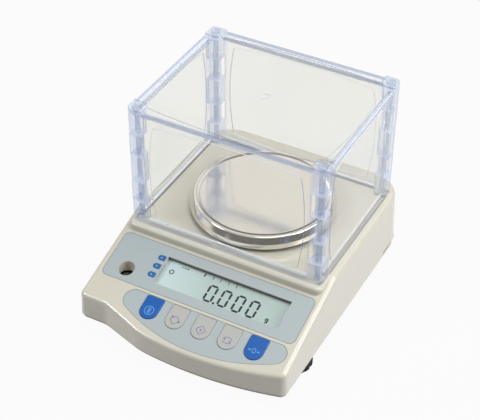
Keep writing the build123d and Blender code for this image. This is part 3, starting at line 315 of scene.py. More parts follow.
class GeoTree(NodeTree):
    """The nodes of one generated shape, with its sizes as named inputs."""

    def __init__(self, name: str, sizes: dict[str, float]) -> None:
        """Makes an empty tree.

        Args:
            name: The name of the tree and of the piece that it makes.
            sizes: What it takes, by name. A whole number becomes a whole-number input.
        """
        super().__init__(bpy.data.node_groups.new(name, "GeometryNodeTree"))
        self.name = name
        self.sizes = sizes
        self.tree.interface.new_socket("Geometry", in_out="INPUT", socket_type="NodeSocketGeometry")
        self.tree.interface.new_socket("Geometry", in_out="OUTPUT", socket_type="NodeSocketGeometry")
        for label, size in sizes.items():
            kind = "NodeSocketInt" if isinstance(size, int) else "NodeSocketFloat"
            self.tree.interface.new_socket(label, in_out="INPUT", socket_type=kind)
        self.given = self.node("NodeGroupInput")

    def size(self, label: str) -> Sock:
        """One of the named inputs."""
        return Sock(self, self.given.outputs[label])

    def move(self, shape: Sock, offset: Any = (0, 0, 0), turn: Any = (0, 0, 0)) -> Sock:
        """A moved and turned copy of a shape."""
        inputs = {"Geometry": shape, "Translation": offset, "Rotation": turn}
        return self.value("GeometryNodeTransform", inputs=inputs)

    def join(self, *shapes: Sock) -> Sock:
        """Several shapes as one."""
        return self.value("GeometryNodeJoinGeometry", inputs={0: list(reversed(shapes))})

    def drum(self, radius: Value, depth: Value, sides: int) -> Sock:
        """A closed cylinder about Z, centred on the origin."""
        inputs = {"Vertices": sides, "Radius": radius, "Depth": depth}
        return self.value("GeometryNodeMeshCylinder", inputs=inputs)

    def cone(self, low: Value, high: Value, depth: Value, sides: int) -> Sock:
        """A closed cone or frustum about Z that stands on the origin."""
        inputs = {"Vertices": sides, "Radius Bottom": low, "Radius Top": high, "Depth": depth}
        return self.value("GeometryNodeMeshCone", inputs=inputs)

    def brick(self, x: Value, y: Value, z: Value) -> Sock:
        """A box centred on the origin."""
        return self.value("GeometryNodeMeshCube", inputs={"Size": self.vector(x, y, z)})

    def minus(self, shape: Sock, *cutters: Sock) -> Sock:
        """A shape with others cut out of it."""
        settings = {"operation": "DIFFERENCE", "solver": "EXACT"}
        return self.value("GeometryNodeMeshBoolean", settings, {"Mesh 1": shape, "Mesh 2": list(cutters)})

    def on_points(self, shape: Sock, turn: tuple[float, float, float]) -> Sock:
        """A copy of a shape, turned, on each point of the carrier's mesh."""
        inputs = {"Points": Sock(self, self.given.outputs["Geometry"]), "Instance": shape, "Rotation": turn}
        return self.value("GeometryNodeInstanceOnPoints", inputs=inputs)

    def bake(self, shape: Sock, look: bpy.types.Material, points: Sequence[Vector] = ()) -> bpy.types.Object:
        """Ends the tree, runs it once and keeps the result as a plain mesh.

        Args:
            shape: What the tree makes.
            look: What it is made of.
            points: The carrier's points, where the tree puts copies.

        Returns:
            The finished piece, with no modifier on it.
        """
        real = self.value("GeometryNodeRealizeInstances", inputs={"Geometry": shape})
        dressed = self.value("GeometryNodeSetMaterial", inputs={"Geometry": real, "Material": look})
        self.node("NodeGroupOutput", inputs={"Geometry": dressed})
        carrier_mesh = bpy.data.meshes.new(self.name + "_points")
        carrier_mesh.from_pydata([tuple(point) for point in points], [], [])
        carrier = bpy.data.objects.new(self.name + "_carrier", carrier_mesh)
        bpy.context.scene.collection.objects.link(carrier)
        modifier = carrier.modifiers.new("shape", "NODES")
        modifier.node_group = self.tree
        for item in self.tree.interface.items_tree:
            if item.in_out == "INPUT" and item.name in self.sizes:
                modifier[item.identifier] = self.sizes[item.name]
        graph = bpy.context.evaluated_depsgraph_get()
        mesh = bpy.data.meshes.new_from_object(carrier.evaluated_get(graph), depsgraph=graph)
        carrier.modifiers.remove(modifier)
        bpy.data.objects.remove(carrier)
        mesh.name = self.name
        return linked(bpy.data.objects.new(self.name, mesh))


def linked(piece: bpy.types.Object) -> bpy.types.Object:
    """Puts an object in the scene and returns it."""
    bpy.context.scene.collection.objects.link(piece)
    return piece


# Finishes


class Grain(Enum):
    """How a moulded surface was textured in its tool: pattern scale per metre, and depth in metres."""

    POLISHED = (260.0, 0.000008)
    SATIN = (1500.0, 0.000012)
    SPARKED = (1900.0, 0.00004)


@dataclass(frozen=True)
class Finish:
    """What a surface is made of."""

    name: str

    def surface(self, shader: Shader) -> Sock:
        """Builds the surface.

        Args:
            shader: The material under construction.

        Returns:
            The surface.
        """
        raise NotImplementedError

    def build(self) -> bpy.types.Material:
        """Makes the material.

        Returns:
            The new material.
        """
        shader = Shader(self.name)
        shader.show(self.surface(shader))
        return shader.material


@dataclass(frozen=True)
class MouldedPlastic(Finish):
    """Injection-moulded plastic: slightly uneven in tone, with the tool's grain."""

    colour: Colour
    grain: Grain = Grain.POLISHED
    roughness: float = 0.34
    coat: float = 0.0
    mottle: float = 0.95
    cloud_scale: float = 22.0
    coat_roughness: float = 0.1
    ior: float = 1.5
    smoother: float = 0.02
    rougher: float = 0.03

    def surface(self, shader: Shader) -> Sock:
        """A mottled, grained plastic.

        Args:
            shader: The material under construction.

        Returns:
            The surface.
        """
        place = shader.place()
        cloud = shader.noise(place, self.cloud_scale, 3.0)
        scale, depth = self.grain.value
        return shader.principled(
            {
                "Base Color": shader.mix(cloud, self.colour, shaded(self.colour, self.mottle)),
                "Roughness": shader.uneven(cloud, self.roughness, self.smoother, self.rougher),
                "Normal": shader.bump(shader.noise(place, scale), depth),
                "Coat Weight": self.coat,
                "Coat Roughness": self.coat_roughness,
                "IOR": self.ior,
            }
        )


@dataclass(frozen=True)
class PrintedFilm(Finish):
    """Polyester film with a fine satin emboss, as labels have."""

    colour: Colour
    roughness: float = 0.42
    mottle: float = 0.965
    cloud_scale: float = 30.0
    emboss_scale: float = 4200.0
    emboss_depth: float = 0.000005
    ior: float = 1.55
    spread: float = 0.03

    def surface(self, shader: Shader) -> Sock:
        """A satin film with a very fine emboss.

        Args:
            shader: The material under construction.

        Returns:
            The surface.
        """
        place = shader.place()
        cloud = shader.noise(place, self.cloud_scale)
        emboss = shader.noise(place, self.emboss_scale, 1.0)
        return shader.principled(
            {
                "Base Color": shader.mix(cloud, self.colour, shaded(self.colour, self.mottle)),
                "Roughness": shader.uneven(cloud, self.roughness, self.spread, self.spread),
                "Normal": shader.bump(emboss, self.emboss_depth),
                "IOR": self.ior,
            }
        )


@dataclass(frozen=True)
class PrintedInk(Finish):
    """A thin layer of screen ink."""

    colour: Colour
    roughness: float = 0.5
    mottle: float = 0.9
    screen_scale: float = 2600.0
    screen_depth: float = 0.000003

    def surface(self, shader: Shader) -> Sock:
        """Ink with a faint unevenness of the screen.

        Args:
            shader: The material under construction.

        Returns:
            The surface.
        """
        weave = shader.noise(shader.place(), self.screen_scale, 1.0)
        return shader.principled(
            {
                "Base Color": shader.mix(weave, self.colour, shaded(self.colour, self.mottle)),
                "Roughness": self.roughness,
                "Normal": shader.bump(weave, self.screen_depth),
            }
        )


@dataclass(frozen=True)
class LiquidCrystal(Finish):
    """Reflective display glass with painted light: its colour is brightest towards the left and fades to the
    right, with a paler band outside the active area.
    """

    left: Colour
    right: Colour
    border: Colour
    painted_light_from_x: float
    painted_light_to_x: float
    border_x: float
    border_fade: float = 0.4 * MM
    cloud_scale: float = 35.0
    cloud_drift: float = 0.02
    grid_scale: float = 3000.0
    smoothest: float = 0.38
    roughest: float = 0.48
    coat: float = 0.6
    coat_roughness: float = 0.05

    def surface(self, shader: Shader) -> Sock:
        """A glossy panel with painted light: its colour brightens towards the left across the display.

        Args:
            shader: The material under construction.

        Returns:
            The surface.
        """
        place = shader.place()
        x = shader.split(place)[0]
        drift = self.cloud_drift * (shader.noise(place, self.cloud_scale) - 0.5)
        # Painted light: the colour runs from the bright left colour to the duller right one.
        across = shader.span(x + drift, self.painted_light_from_x, self.painted_light_to_x, smooth=True)
        active = shader.mix(across, self.left, self.right)
        edge = shader.span(x, self.border_x, self.border_x + self.border_fade)
        grid = shader.noise(place, self.grid_scale, 1.0)
        return shader.principled(
            {
                "Base Color": shader.mix(edge, active, self.border),
                "Roughness": shader.span(grid, 0.0, 1.0, self.smoothest, self.roughest),
                "Coat Weight": self.coat,
                "Coat Roughness": self.coat_roughness,
            }
        )


@dataclass(frozen=True)
class ClearPlastic(Finish):
    """Clear moulded plastic: transparency with a faint veil, and a gloss that grows as a face turns away."""

    colour: Colour
    veil: float = 0.05
    edge_veil: float = 0.5
    roughness: float = 0.05
    tint: Colour = WHITE
    lamp_tint: float = 0.93
    haze_scale: float = 60.0
    haze_low: float = 0.35
    haze_high: float = 0.75
    haze_spread: float = 0.04
    veil_smoothest: float = 0.4
    veil_roughest: float = 0.5
    turn_power: int = 5
    face_gloss: float = 0.045
    edge_gloss: float = 0.8
    ior: float = 1.49

    def _veil(self, shader: Shader, place: Sock, turned: Sock) -> tuple[Sock, Value, Any]:
        """What shows through, how strong the veil over it is, and the veil's colour."""
        through = self._through(shader, self.tint)
        return through, turned * (self.edge_veil - self.veil) + self.veil, self.colour

    @staticmethod
    def _through(shader: Shader, tint: Colour) -> Sock:
        """Plain transparency that colours what is behind it."""
        return shader.value("ShaderNodeBsdfTransparent", inputs={"Color": (*tint, 1.0)})

    def _turned(self, shader: Shader) -> Sock:
        """How far a face turns away from sight, close to 0 until it is nearly edge-on.

        Args:
            shader: The material under construction.

        Returns:
            0 for a face seen straight on, 1 for one seen edge-on.
        """
        facing = shader.value("ShaderNodeLayerWeight", inputs={"Blend": 0.5}, output="Facing")
        turned = facing
        for _ in range(self.turn_power - 1):
            turned = turned * facing
        return turned

    def surface(self, shader: Shader) -> Sock:
        """The veil over the transparency, the gloss over both, and a plain way through for lamp rays.

        Args:
            shader: The material under construction.

        Returns:
            The surface.
        """
        place = shader.place()
        haze = shader.noise(place, self.haze_scale, 3.0)
        turned = self._turned(shader)
        through, strength, colour = self._veil(shader, place, turned)
        dull = shader.span(haze, self.haze_low, self.haze_high, self.veil_smoothest, self.veil_roughest)
        dullest = self.roughness + self.haze_spread
        sharp = shader.span(haze, self.haze_low, self.haze_high, self.roughness, dullest)
        body = shader.principled({"Base Color": colour, "Roughness": dull, "IOR": self.ior})
        back = shader.value("ShaderNodeNewGeometry", output="Backfacing")
        gloss = (turned * self.edge_gloss + self.face_gloss) * (1.0 - back)
        shine = shader.principled({"Base Color": WHITE, "Metallic": 1.0, "Roughness": sharp})
        lamp = shader.value("ShaderNodeLightPath", output="Is Shadow Ray")
        lit = self._through(shader, shaded(WHITE, self.lamp_tint))
        seen = shader.blend(gloss, shader.blend(strength, through, body), shine)
        return shader.blend(lamp, seen, lit)


class Sheet(Enum):
    """Which way a flat clear sheet faces."""

    ACROSS = 0
    ALONG = 1
    LEVEL = 2


@dataclass(frozen=True)
class ShieldPlastic(ClearPlastic):
    """The draft shield's plastic: almost clear windows, bluish corners and rails, stronger lines at edges,
    and a painted highlight on edge faces that turn upward.
    """

    sheet: Sheet = Sheet.LEVEL
    frame_colour: Colour = srgb(226, 231, 244)
    frame_tint: Colour = (0.93, 0.95, 0.985)
    frame_veil: float = 0.12
    line_colour: Colour = srgb(150, 171, 212)
    # Painted highlight: edge faces that turn upward take a near-white colour under a strong veil.
    painted_highlight_colour: Colour = srgb(247, 249, 255)
    painted_highlight_veil: float = 0.85
    half_width: float = 0.0705
    half_depth: float = 0.054
    centre_y: float = 0.032
    rail_top: float = 0.063
    rim_foot: float = 0.1615
    rim_width: float = 0.0045
    post_size: float = 0.012
    post_softness: float = 0.5
    fade: float = 0.002
    flat: float = 0.985
    rounded: float = 0.93
    sheet_flat: float = 0.96
    sheet_turned: float = 0.6
    painted_highlight_from: float = 0.2
    painted_highlight_to: float = 0.6

    def _frame(self, shader: Shader, place: Sock) -> tuple[Sock, Sock]:
        """Tells the frame from the windows.

        Args:
            shader: The material under construction.
            place: Object coordinates.

        Returns:
            1 on the corner posts, and 1 on the whole frame.
        """
        x, y, z = shader.split(place)
        x, y = abs(x), abs(y - self.centre_y)
        past_x = shader.span(x, self.half_width - self.fade, self.half_width)
        past_y = shader.span(y, self.half_depth - self.fade, self.half_depth)
        reach = self.post_size - self.rim_width
        rim_x = shader.span(x, self.half_width + reach, self.half_width + reach + self.fade)
        rim_y = shader.span(y, self.half_depth + reach, self.half_depth + reach + self.fade)
        rim = rim_x.highest(rim_y) * shader.span(z, self.rim_foot, self.rim_foot + self.fade / 2)
        rail = shader.span(z, self.rail_top + self.fade, self.rail_top)
        post = past_x * past_y
        return post, post.highest(rail).highest(rim)

    def _veil(self, shader: Shader, place: Sock, turned: Sock) -> tuple[Sock, Value, Any]:
        """Changes from the windows to the frame, with lines where the sheet's faces turn at its edges, and a
        painted highlight where those edge faces turn upward.

        Args:
            shader: The material under construction.
            place: Object coordinates.
            turned: How far a face turns away from sight.

        Returns:
            What shows through, how strong the veil over it is, and the veil's colour.
        """
        post, frame = self._frame(shader, place)
        ways = shader.split(shader.value("ShaderNodeTexCoord", output="Normal"))
        squared = [abs(way) for way in ways]
        rounded = shader.span(squared[0].highest(squared[1]).highest(squared[2]), self.flat, self.rounded)
        edge = shader.span(squared[self.sheet.value], self.sheet_flat, self.sheet_turned)
        line = edge.highest(rounded) * (1.0 - post * self.post_softness)
        # Painted highlight: edge faces grow lighter the more they face up.
        lit = line * shader.span(ways[2], self.painted_highlight_from, self.painted_highlight_to)
        colour = shader.mix(frame, self.colour, self.frame_colour)
        colour = shader.mix(lit, shader.mix(line.highest(turned), colour, self.line_colour), self.painted_highlight_colour)
        strength = frame * (self.frame_veil - self.veil) + self.veil
        strength = strength.highest(line.highest(turned) * self.edge_veil).highest(lit * self.painted_highlight_veil)
        windows, posts = self._through(shader, self.tint), self._through(shader, self.frame_tint)
        return shader.blend(frame, windows, posts), strength, colour


@dataclass(frozen=True)
class SpunSteel(Finish):
    """Stainless steel polished while it spins: fine rings about one upright axis."""

    colour: Colour
    centre: tuple[float, float, float]
    ring_scale: float = 2600.0
    roughness: float = 0.13
    ring_depth: float = 0.0000012
    ring_shade: float = 0.94
    cloud_scale: float = 28.0
    cloud_low: float = 0.25
    cloud_high: float = 0.75
    dullest: float = 0.07

    def surface(self, shader: Shader) -> Sock:
        """Metal with ring marks, a little duller where the polish is uneven.

        Args:
            shader: The material under construction.

        Returns:
            The surface.
        """
        x, y, _ = shader.split(shader.place(centre=self.centre))
        outward = shader.vector(x, y, 0.0)
        radius = shader.value("ShaderNodeVectorMath", {"operation": "LENGTH"}, {0: outward}, "Value")
        winding = {"W": radius, "Scale": self.ring_scale, "Detail": 3.0}
        rings = shader.value("ShaderNodeTexNoise", {"noise_dimensions": "1D"}, winding)
        cloud = shader.noise(shader.place(), self.cloud_scale, 3.0)
        dull = self.roughness + self.dullest
        return shader.principled(
            {
                "Base Color": shader.mix(rings, self.colour, shaded(self.colour, self.ring_shade)),
                "Metallic": 1.0,
                "Roughness": shader.span(cloud, self.cloud_low, self.cloud_high, self.roughness, dull),
                "Normal": shader.bump(rings, self.ring_depth),
            }
        )


@dataclass(frozen=True)
class Metal(Finish):
    """Cast, machined or plated metal: an even noise, or scratches along one axis."""

    colour: Colour
    roughness: float
    scale: float
    depth: float
    stretch: tuple[float, float, float] = (1.0, 1.0, 1.0)
    shade: float = 0.88
    smoother: float = 0.05
    rougher: float = 0.08

    def surface(self, shader: Shader) -> Sock:
        """Metal with its surface marks.

        Args:
            shader: The material under construction.

        Returns:
            The surface.
        """
        marks = shader.noise(shader.place(self.stretch), self.scale, 3.0)
        return shader.principled(
            {
                "Base Color": shader.mix(marks, self.colour, shaded(self.colour, self.shade)),
                "Metallic": 1.0,
                "Roughness": shader.uneven(marks, self.roughness, self.smoother, self.rougher),
                "Normal": shader.bump(marks, self.depth),
            }
        )


@dataclass(frozen=True)
class Rubber(Finish):
    """Moulded rubber with a dull dusty skin."""

    colour: Colour
    dust_scale: float = 160.0
    dust_from: float = 0.45
    dust_shade: float = 1.9
    dull_from: float = 0.3
    dull_to: float = 0.7
    smoothest: float = 0.72
    roughest: float = 0.88
    skin_scale: float = 1400.0
    skin_depth: float = 0.00003

    def surface(self, shader: Shader) -> Sock:
        """A matte skin with a little dust.

        Args:
            shader: The material under construction.

        Returns:
            The surface.
        """
        place = shader.place()
        dust = shader.noise(place, self.dust_scale, 4.0)
        dusty = shader.span(dust, self.dust_from, NOISE_HIGH)
        return shader.principled(
            {
                "Base Color": shader.mix(dusty, self.colour, shaded(self.colour, self.dust_shade)),
                "Roughness": shader.span(dust, self.dull_from, self.dull_to, self.smoothest, self.roughest),
                "Normal": shader.bump(shader.noise(place, self.skin_scale), self.skin_depth),
            }
        )


@dataclass(frozen=True)
class CircuitBoard(Finish):
    """Solder mask over copper tracks that show as slightly raised lighter lines."""

    mask: Colour
    track: Colour
    pitch: float = 0.0025
    cell_scale: float = 90.0
    bend: float = 6.0
    track_from: float = 0.72
    track_to: float = 0.82
    track_depth: float = 0.00004
    roughness: float = 0.3
    coat: float = 0.3

    def surface(self, shader: Shader) -> Sock:
        """Glossy mask with a grid of broken tracks.

        Args:
            shader: The material under construction.

        Returns:
            The surface.
        """
        place = shader.place()
        x, y, _ = shader.split(place)
        cells = {"Vector": place, "Scale": self.cell_scale}
        wobble = shader.value("ShaderNodeTexVoronoi", {"distance": "CHEBYCHEV"}, cells, "Distance")
        across = (x * (2 * math.pi / self.pitch) + wobble * self.bend).sine()
        along = (y * (2 * math.pi / self.pitch) - wobble * self.bend).sine()
        tracks = shader.span(across.highest(along), self.track_from, self.track_to)
        return shader.principled(
            {
                "Base Color": shader.mix(tracks, self.mask, self.track),
                "Roughness": self.roughness,
                "Normal": shader.bump(tracks, self.track_depth),
                "Coat Weight": self.coat,
            }
        )


@dataclass(frozen=True)
class RibbonCable(Finish):
    """Flat cable: grey wires side by side, the first one red."""

    wire: Colour
    first: Colour
    first_x: float
    pitch: float = 0.00127
    first_width: float = 1.05
    rib_depth: float = 0.0002
    roughness: float = 0.5

    def surface(self, shader: Shader) -> Sock:
        """Ribbed insulation.

        Args:
            shader: The material under construction.

        Returns:
            The surface.
        """
        x = shader.split(shader.place())[0]
        ribs = ((x - self.first_x) * (2 * math.pi / self.pitch)).sine()
        red = shader.span(x, self.first_x + self.pitch, self.first_x + self.first_width * self.pitch)
        return shader.principled(
            {
                "Base Color": shader.mix(red, self.first, self.wire),
                "Roughness": self.roughness,
                "Normal": shader.bump(ribs, self.rib_depth),
            }
        )


IVORY = MouldedPlastic("housing_ivory", srgb(223, 219, 204), Grain.POLISHED, 0.3, coat=0.85)
BASE_IVORY = MouldedPlastic("tray_ivory", srgb(205, 197, 180), Grain.SPARKED, 0.5)
LABEL_GREY = PrintedFilm("label_grey", srgb(181, 192, 194))
LABEL_EDGE = PrintedInk("label_edge", srgb(140, 150, 146))
KEY_BLUE = MouldedPlastic("key_blue", srgb(22, 96, 180), Grain.SATIN, 0.36, coat=0.15, mottle=0.97)
KEY_BEIGE = MouldedPlastic("key_beige", srgb(190, 190, 186), Grain.SATIN, 0.4, mottle=0.97)
ICON_PALE = PrintedInk("icon_pale", srgb(120, 180, 235))
ICON_VIOLET = PrintedInk("icon_violet", srgb(120, 122, 168))
TAB_BLUE = PrintedInk("tab_blue", srgb(38, 104, 168))
TAB_MARK = PrintedInk("tab_mark", srgb(170, 205, 230))
LCD_INK = PrintedInk("display_segment", srgb(10, 18, 42), 0.35)
LCD_FAINT = PrintedInk("display_scale", srgb(92, 106, 108), 0.35)
# Painted light: the glass is given a brighter colour at the left than at the right.
LCD_GLASS = LiquidCrystal(
    "display_glass",
    left=srgb(218, 238, 240),
    right=srgb(196, 216, 210),
    border=srgb(206, 216, 216),
    painted_light_from_x=-0.042,
    painted_light_to_x=0.012,
    border_x=0.0625,
)
WINDOW_CLEAR = ClearPlastic("window_clear", srgb(225, 232, 230), veil=0.02, edge_veil=0.35)
SHIELD_CLEAR = {
    sheet: ShieldPlastic(
        f"shield_{sheet.name.lower()}",
        srgb(216, 215, 206),
        edge_veil=0.54,
        tint=(0.985, 0.985, 0.975),
        sheet=sheet,
    )
    for sheet in Sheet
}
PIN_CLEAR = ClearPlastic(
    "pin_clear", srgb(206, 218, 238), veil=0.03, edge_veil=0.2, tint=(0.985, 0.99, 0.995)
)
VIAL_CLEAR = ClearPlastic("vial_clear", srgb(200, 205, 200), veil=0.06)
SPIRIT = ClearPlastic("vial_spirit", srgb(120, 150, 60), veil=0.35)
BLACK_PLASTIC = MouldedPlastic("black_plastic", srgb(26, 26, 28), Grain.SPARKED, 0.45, mottle=0.85)
WHITE_PLASTIC = MouldedPlastic("white_plastic", srgb(228, 228, 222), Grain.SATIN, 0.42)
CHIP_RESIN = MouldedPlastic("chip_resin", srgb(38, 38, 40), Grain.SPARKED, 0.6, mottle=0.8)
PAN_STEEL = SpunSteel("pan_steel", srgb(244, 238, 231), (0.0, 0.032, 0.0), roughness=0.07)
PLATED_STEEL = Metal("plated_steel", srgb(205, 206, 210), 0.22, 900.0, 0.000006)
TURNED_BRASS = Metal("turned_brass", srgb(214, 186, 112), 0.28, 700.0, 0.000008, (1.0, 1.0, 8.0))
CAST_ALLOY = Metal("cast_alloy", srgb(186, 189, 193), 0.5, 420.0, 0.00008)
MILLED_ALLOY = Metal("milled_alloy", srgb(206, 208, 212), 0.3, 500.0, 0.000012, (0.15, 3.0, 3.0))
FOOT_RUBBER = Rubber("foot_rubber", srgb(34, 34, 36))
CUSHION_RUBBER = Rubber("cushion_rubber", srgb(40, 40, 40))
GREEN_BOARD = CircuitBoard("green_board", srgb(28, 92, 62), srgb(58, 128, 88))
GREY_RIBBON = RibbonCable("grey_ribbon", srgb(176, 178, 180), srgb(190, 60, 52), -0.056)


@functools.lru_cache(maxsize=None)
def material(finish: Finish) -> bpy.types.Material:
    """The material of a finish, made once."""
    return finish.build()


# Shapes


def dress(frame: dict[str, Any], finish: Finish, *nodes: str) -> None:
    """Gives CAD nodes a finish.

    Args:
        finish: What the nodes are made of.
        nodes: The nodes' names.
    """
    for name in nodes:
        for slot in frame["nodes"][name].material_slots:
            slot.material = material(finish)
        LOG.info("dressed %s in %s", name, finish.name)


def mount(piece: bpy.types.Object, body: str, slot: str, *stands_for: str) -> bpy.types.Object:
    """Makes a finished piece ride on a body and take the place of CAD nodes.

    Args:
        piece: The piece, in its place.
        body: The CAD body it moves with.
        slot: The record's material slot; not used.
        stands_for: The CAD nodes that it replaces.

    Returns:
        The piece.
    """
    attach(piece, body)
    if stands_for:
        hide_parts(*stands_for)
    LOG.info("made %s, %d faces, on %s", piece.name, len(piece.data.polygons), body)
    return piece


def arc(centre: Point, radius: float, start: float, end: float, steps: int) -> list[Point]:
    """Points along an arc; angles are in degrees from +x."""
    angles = [math.radians(start + (end - start) * i / steps) for i in range(steps + 1)]
    return [(centre[0] + radius * math.cos(a), centre[1] + radius * math.sin(a)) for a in angles]


def ring(centre: Point, radius: float, count: int) -> list[Point]:
    """Points evenly round a circle."""
    return arc(centre, radius, 0, 360 - 360 / count, count - 1)


def arc_through(first: Point, middle: Point, last: Point, steps: int) -> list[Point]:
    """Points along the arc through three points.

    Args:
        first: Where it starts.
        middle: A point on it.
        last: Where it ends.
        steps: How many straight pieces it has.

    Returns:
        The points, both ends included.
    """
    (ax, ay), (bx, by), (cx, cy) = first, middle, last
    d = 2 * (ax * (by - cy) + bx * (cy - ay) + cx * (ay - by))
    aa, bb, cc = ax * ax + ay * ay, bx * bx + by * by, cx * cx + cy * cy
    centre = (
        (aa * (by - cy) + bb * (cy - ay) + cc * (ay - by)) / d,
        (aa * (cx - bx) + bb * (ax - cx) + cc * (bx - ax)) / d,
    )
    radius = math.dist(centre, first)
    angles = [math.degrees(math.atan2(y - centre[1], x - centre[0])) for x, y in (first, middle, last)]
    sweep = (angles[2] - angles[0]) % 360
    if (angles[1] - angles[0]) % 360 > sweep:
        sweep -= 360
    return arc(centre, radius, angles[0], angles[0] + sweep, steps)


def rounded_box(
    x0: float, x1: float, t0: float, t1: float, radii: Sequence[float], steps: int = 8
) -> list[Point]:
    """Outline of a box with round corners.

    Args:
        x0: Left side.
        x1: Right side.
        t0: Bottom.
        t1: Top.
        radii: Radii at the lower left, lower right, upper right and upper left.
        steps: Straight pieces in each corner.

    Returns:
        The points, anticlockwise.
    """
    a, b, c, d = radii
    points = arc((x0 + a, t0 + a), a, 180, 270, steps)
    points += arc((x1 - b, t0 + b), b, 270, 360, steps)
    points += arc((x1 - c, t1 - c), c, 0, 90, steps)
    points += arc((x0 + d, t1 - d), d, 90, 180, steps)
    return points


@dataclass(frozen=True)
class ConsolePlane:
    """The housing's sloped face: x to the right, t up the slope, n out of it."""

    origin_y: float = -58.0 * MM
    origin_z: float = 46.853 * MM
    slope_deg: float = 17.7

    def at(self, x: float, t: float, n: float) -> Vector:
        """A point of the face in the model's frame.

        Args:
            x: To the right.
            t: Up the slope.
            n: Out of the face.

        Returns:
            The point, in metres.
        """
        sine = math.sin(math.radians(self.slope_deg))
        cosine = math.cos(math.radians(self.slope_deg))
        return Vector((x, self.origin_y + t * cosine - n * sine, self.origin_z + t * sine + n * cosine))


class Artwork:
    """Thin flat shapes on the console, such as print and display segments, gathered in one mesh."""

    mitre_floor = 0.4

    def __init__(self, name: str, plane: ConsolePlane, low: float, high: float) -> None:
        """Starts empty.

        Args:
            name: The piece's name.
            plane: What the shapes lie on.
            low: The height of their undersides above it.
            high: The height of their faces above it.
        """
        self.name = name
        self.plane = plane
        self.low = low
        self.high = high
        self.mesh = bmesh.new()

    def _layer(self, points: Sequence[Point], height: float) -> list[bmesh.types.BMVert]:
        """Vertices over these points at one height."""
        return [self.mesh.verts.new(self.plane.at(x, t, height)) for x, t in points]

    def polygon(self, points: Sequence[Point]) -> None:
        """Adds a filled shape.

        Args:
            points: Its outline, anticlockwise.
        """
        low = self._layer(points, self.low)
        high = self._layer(points, self.high)
        self.mesh.faces.new(high)
        self.mesh.faces.new(list(reversed(low)))
        for i in range(len(points)):
            j = (i + 1) % len(points)
            self.mesh.faces.new((low[i], low[j], high[j], high[i]))

    def stroke(self, points: Sequence[Point], width: float, closed: bool = False) -> None:
        """Adds a line of even width with mitred corners.

        Args:
            points: The middle of the line.
            width: Its width.
            closed: Whether it runs back to its first point.
        """
        count = len(points)
        left: list[Point] = []
        right: list[Point] = []
        for i, (x, t) in enumerate(points):
            before = Vector(points[i - 1]) if closed or i > 0 else None
            after = Vector(points[(i + 1) % count]) if closed or i < count - 1 else None
            here = Vector((x, t))
            into = (here - before).normalized() if before is not None else None
            out = (after - here).normalized() if after is not None else into
            into = into if into is not None else out
            along = (into + out).normalized()
            reach = width / 2 / max(self.mitre_floor, along.dot(into))
            left.append((x - along.y * reach, t + along.x * reach))
            right.append((x + along.y * reach, t - along.x * reach))
        rows = [self._layer(left, self.low), self._layer(left, self.high)]
        rows += [self._layer(right, self.high), self._layer(right, self.low)]
        for i in range(count if closed else count - 1):
            j = (i + 1) % count
            for a, b in zip(rows, rows[1:] + rows[:1]):
                self.mesh.faces.new((a[i], a[j], b[j], b[i]))
        if not closed:
            self.mesh.faces.new([row[0] for row in rows])
            self.mesh.faces.new([row[-1] for row in reversed(rows)])

    def finish(self, ink: Finish, body: str, slot: str) -> bpy.types.Object:
        """Makes the piece and lets it ride on a body.

        Args:
            ink: What it is made of.
            body: The CAD body it moves with.
            slot: The record's material slot; not used.

        Returns:
            The piece.
        """
        bmesh.ops.recalc_face_normals(self.mesh, faces=self.mesh.faces[:])
        mesh = bpy.data.meshes.new(self.name)
        self.mesh.to_mesh(mesh)
        self.mesh.free()
        mesh.materials.append(material(ink))
        return mount(linked(bpy.data.objects.new(self.name, mesh)), body, slot)


# Sub-assemblies


@dataclass(frozen=True)
class Housing:
    """The moulded cover and the tray below it."""

    def build(self, frame: dict[str, Any]) -> None:
        """Dresses both mouldings."""
        dress(frame, IVORY, "upper_housing")
        dress(frame, BASE_IVORY, "lower_housing")


class Segment(Enum):
    """Bars of a seven-segment figure, as the ends of each in a box of one by one."""

    TOP = ((0.0, 1.0), (1.0, 1.0))
    UPPER_RIGHT = ((1.0, 1.0), (1.0, 0.5))
    LOWER_RIGHT = ((1.0, 0.5), (1.0, 0.0))
    BOTTOM = ((1.0, 0.0), (0.0, 0.0))
    LOWER_LEFT = ((0.0, 0.0), (0.0, 0.5))
    UPPER_LEFT = ((0.0, 0.5), (0.0, 1.0))


ZERO = tuple(Segment)


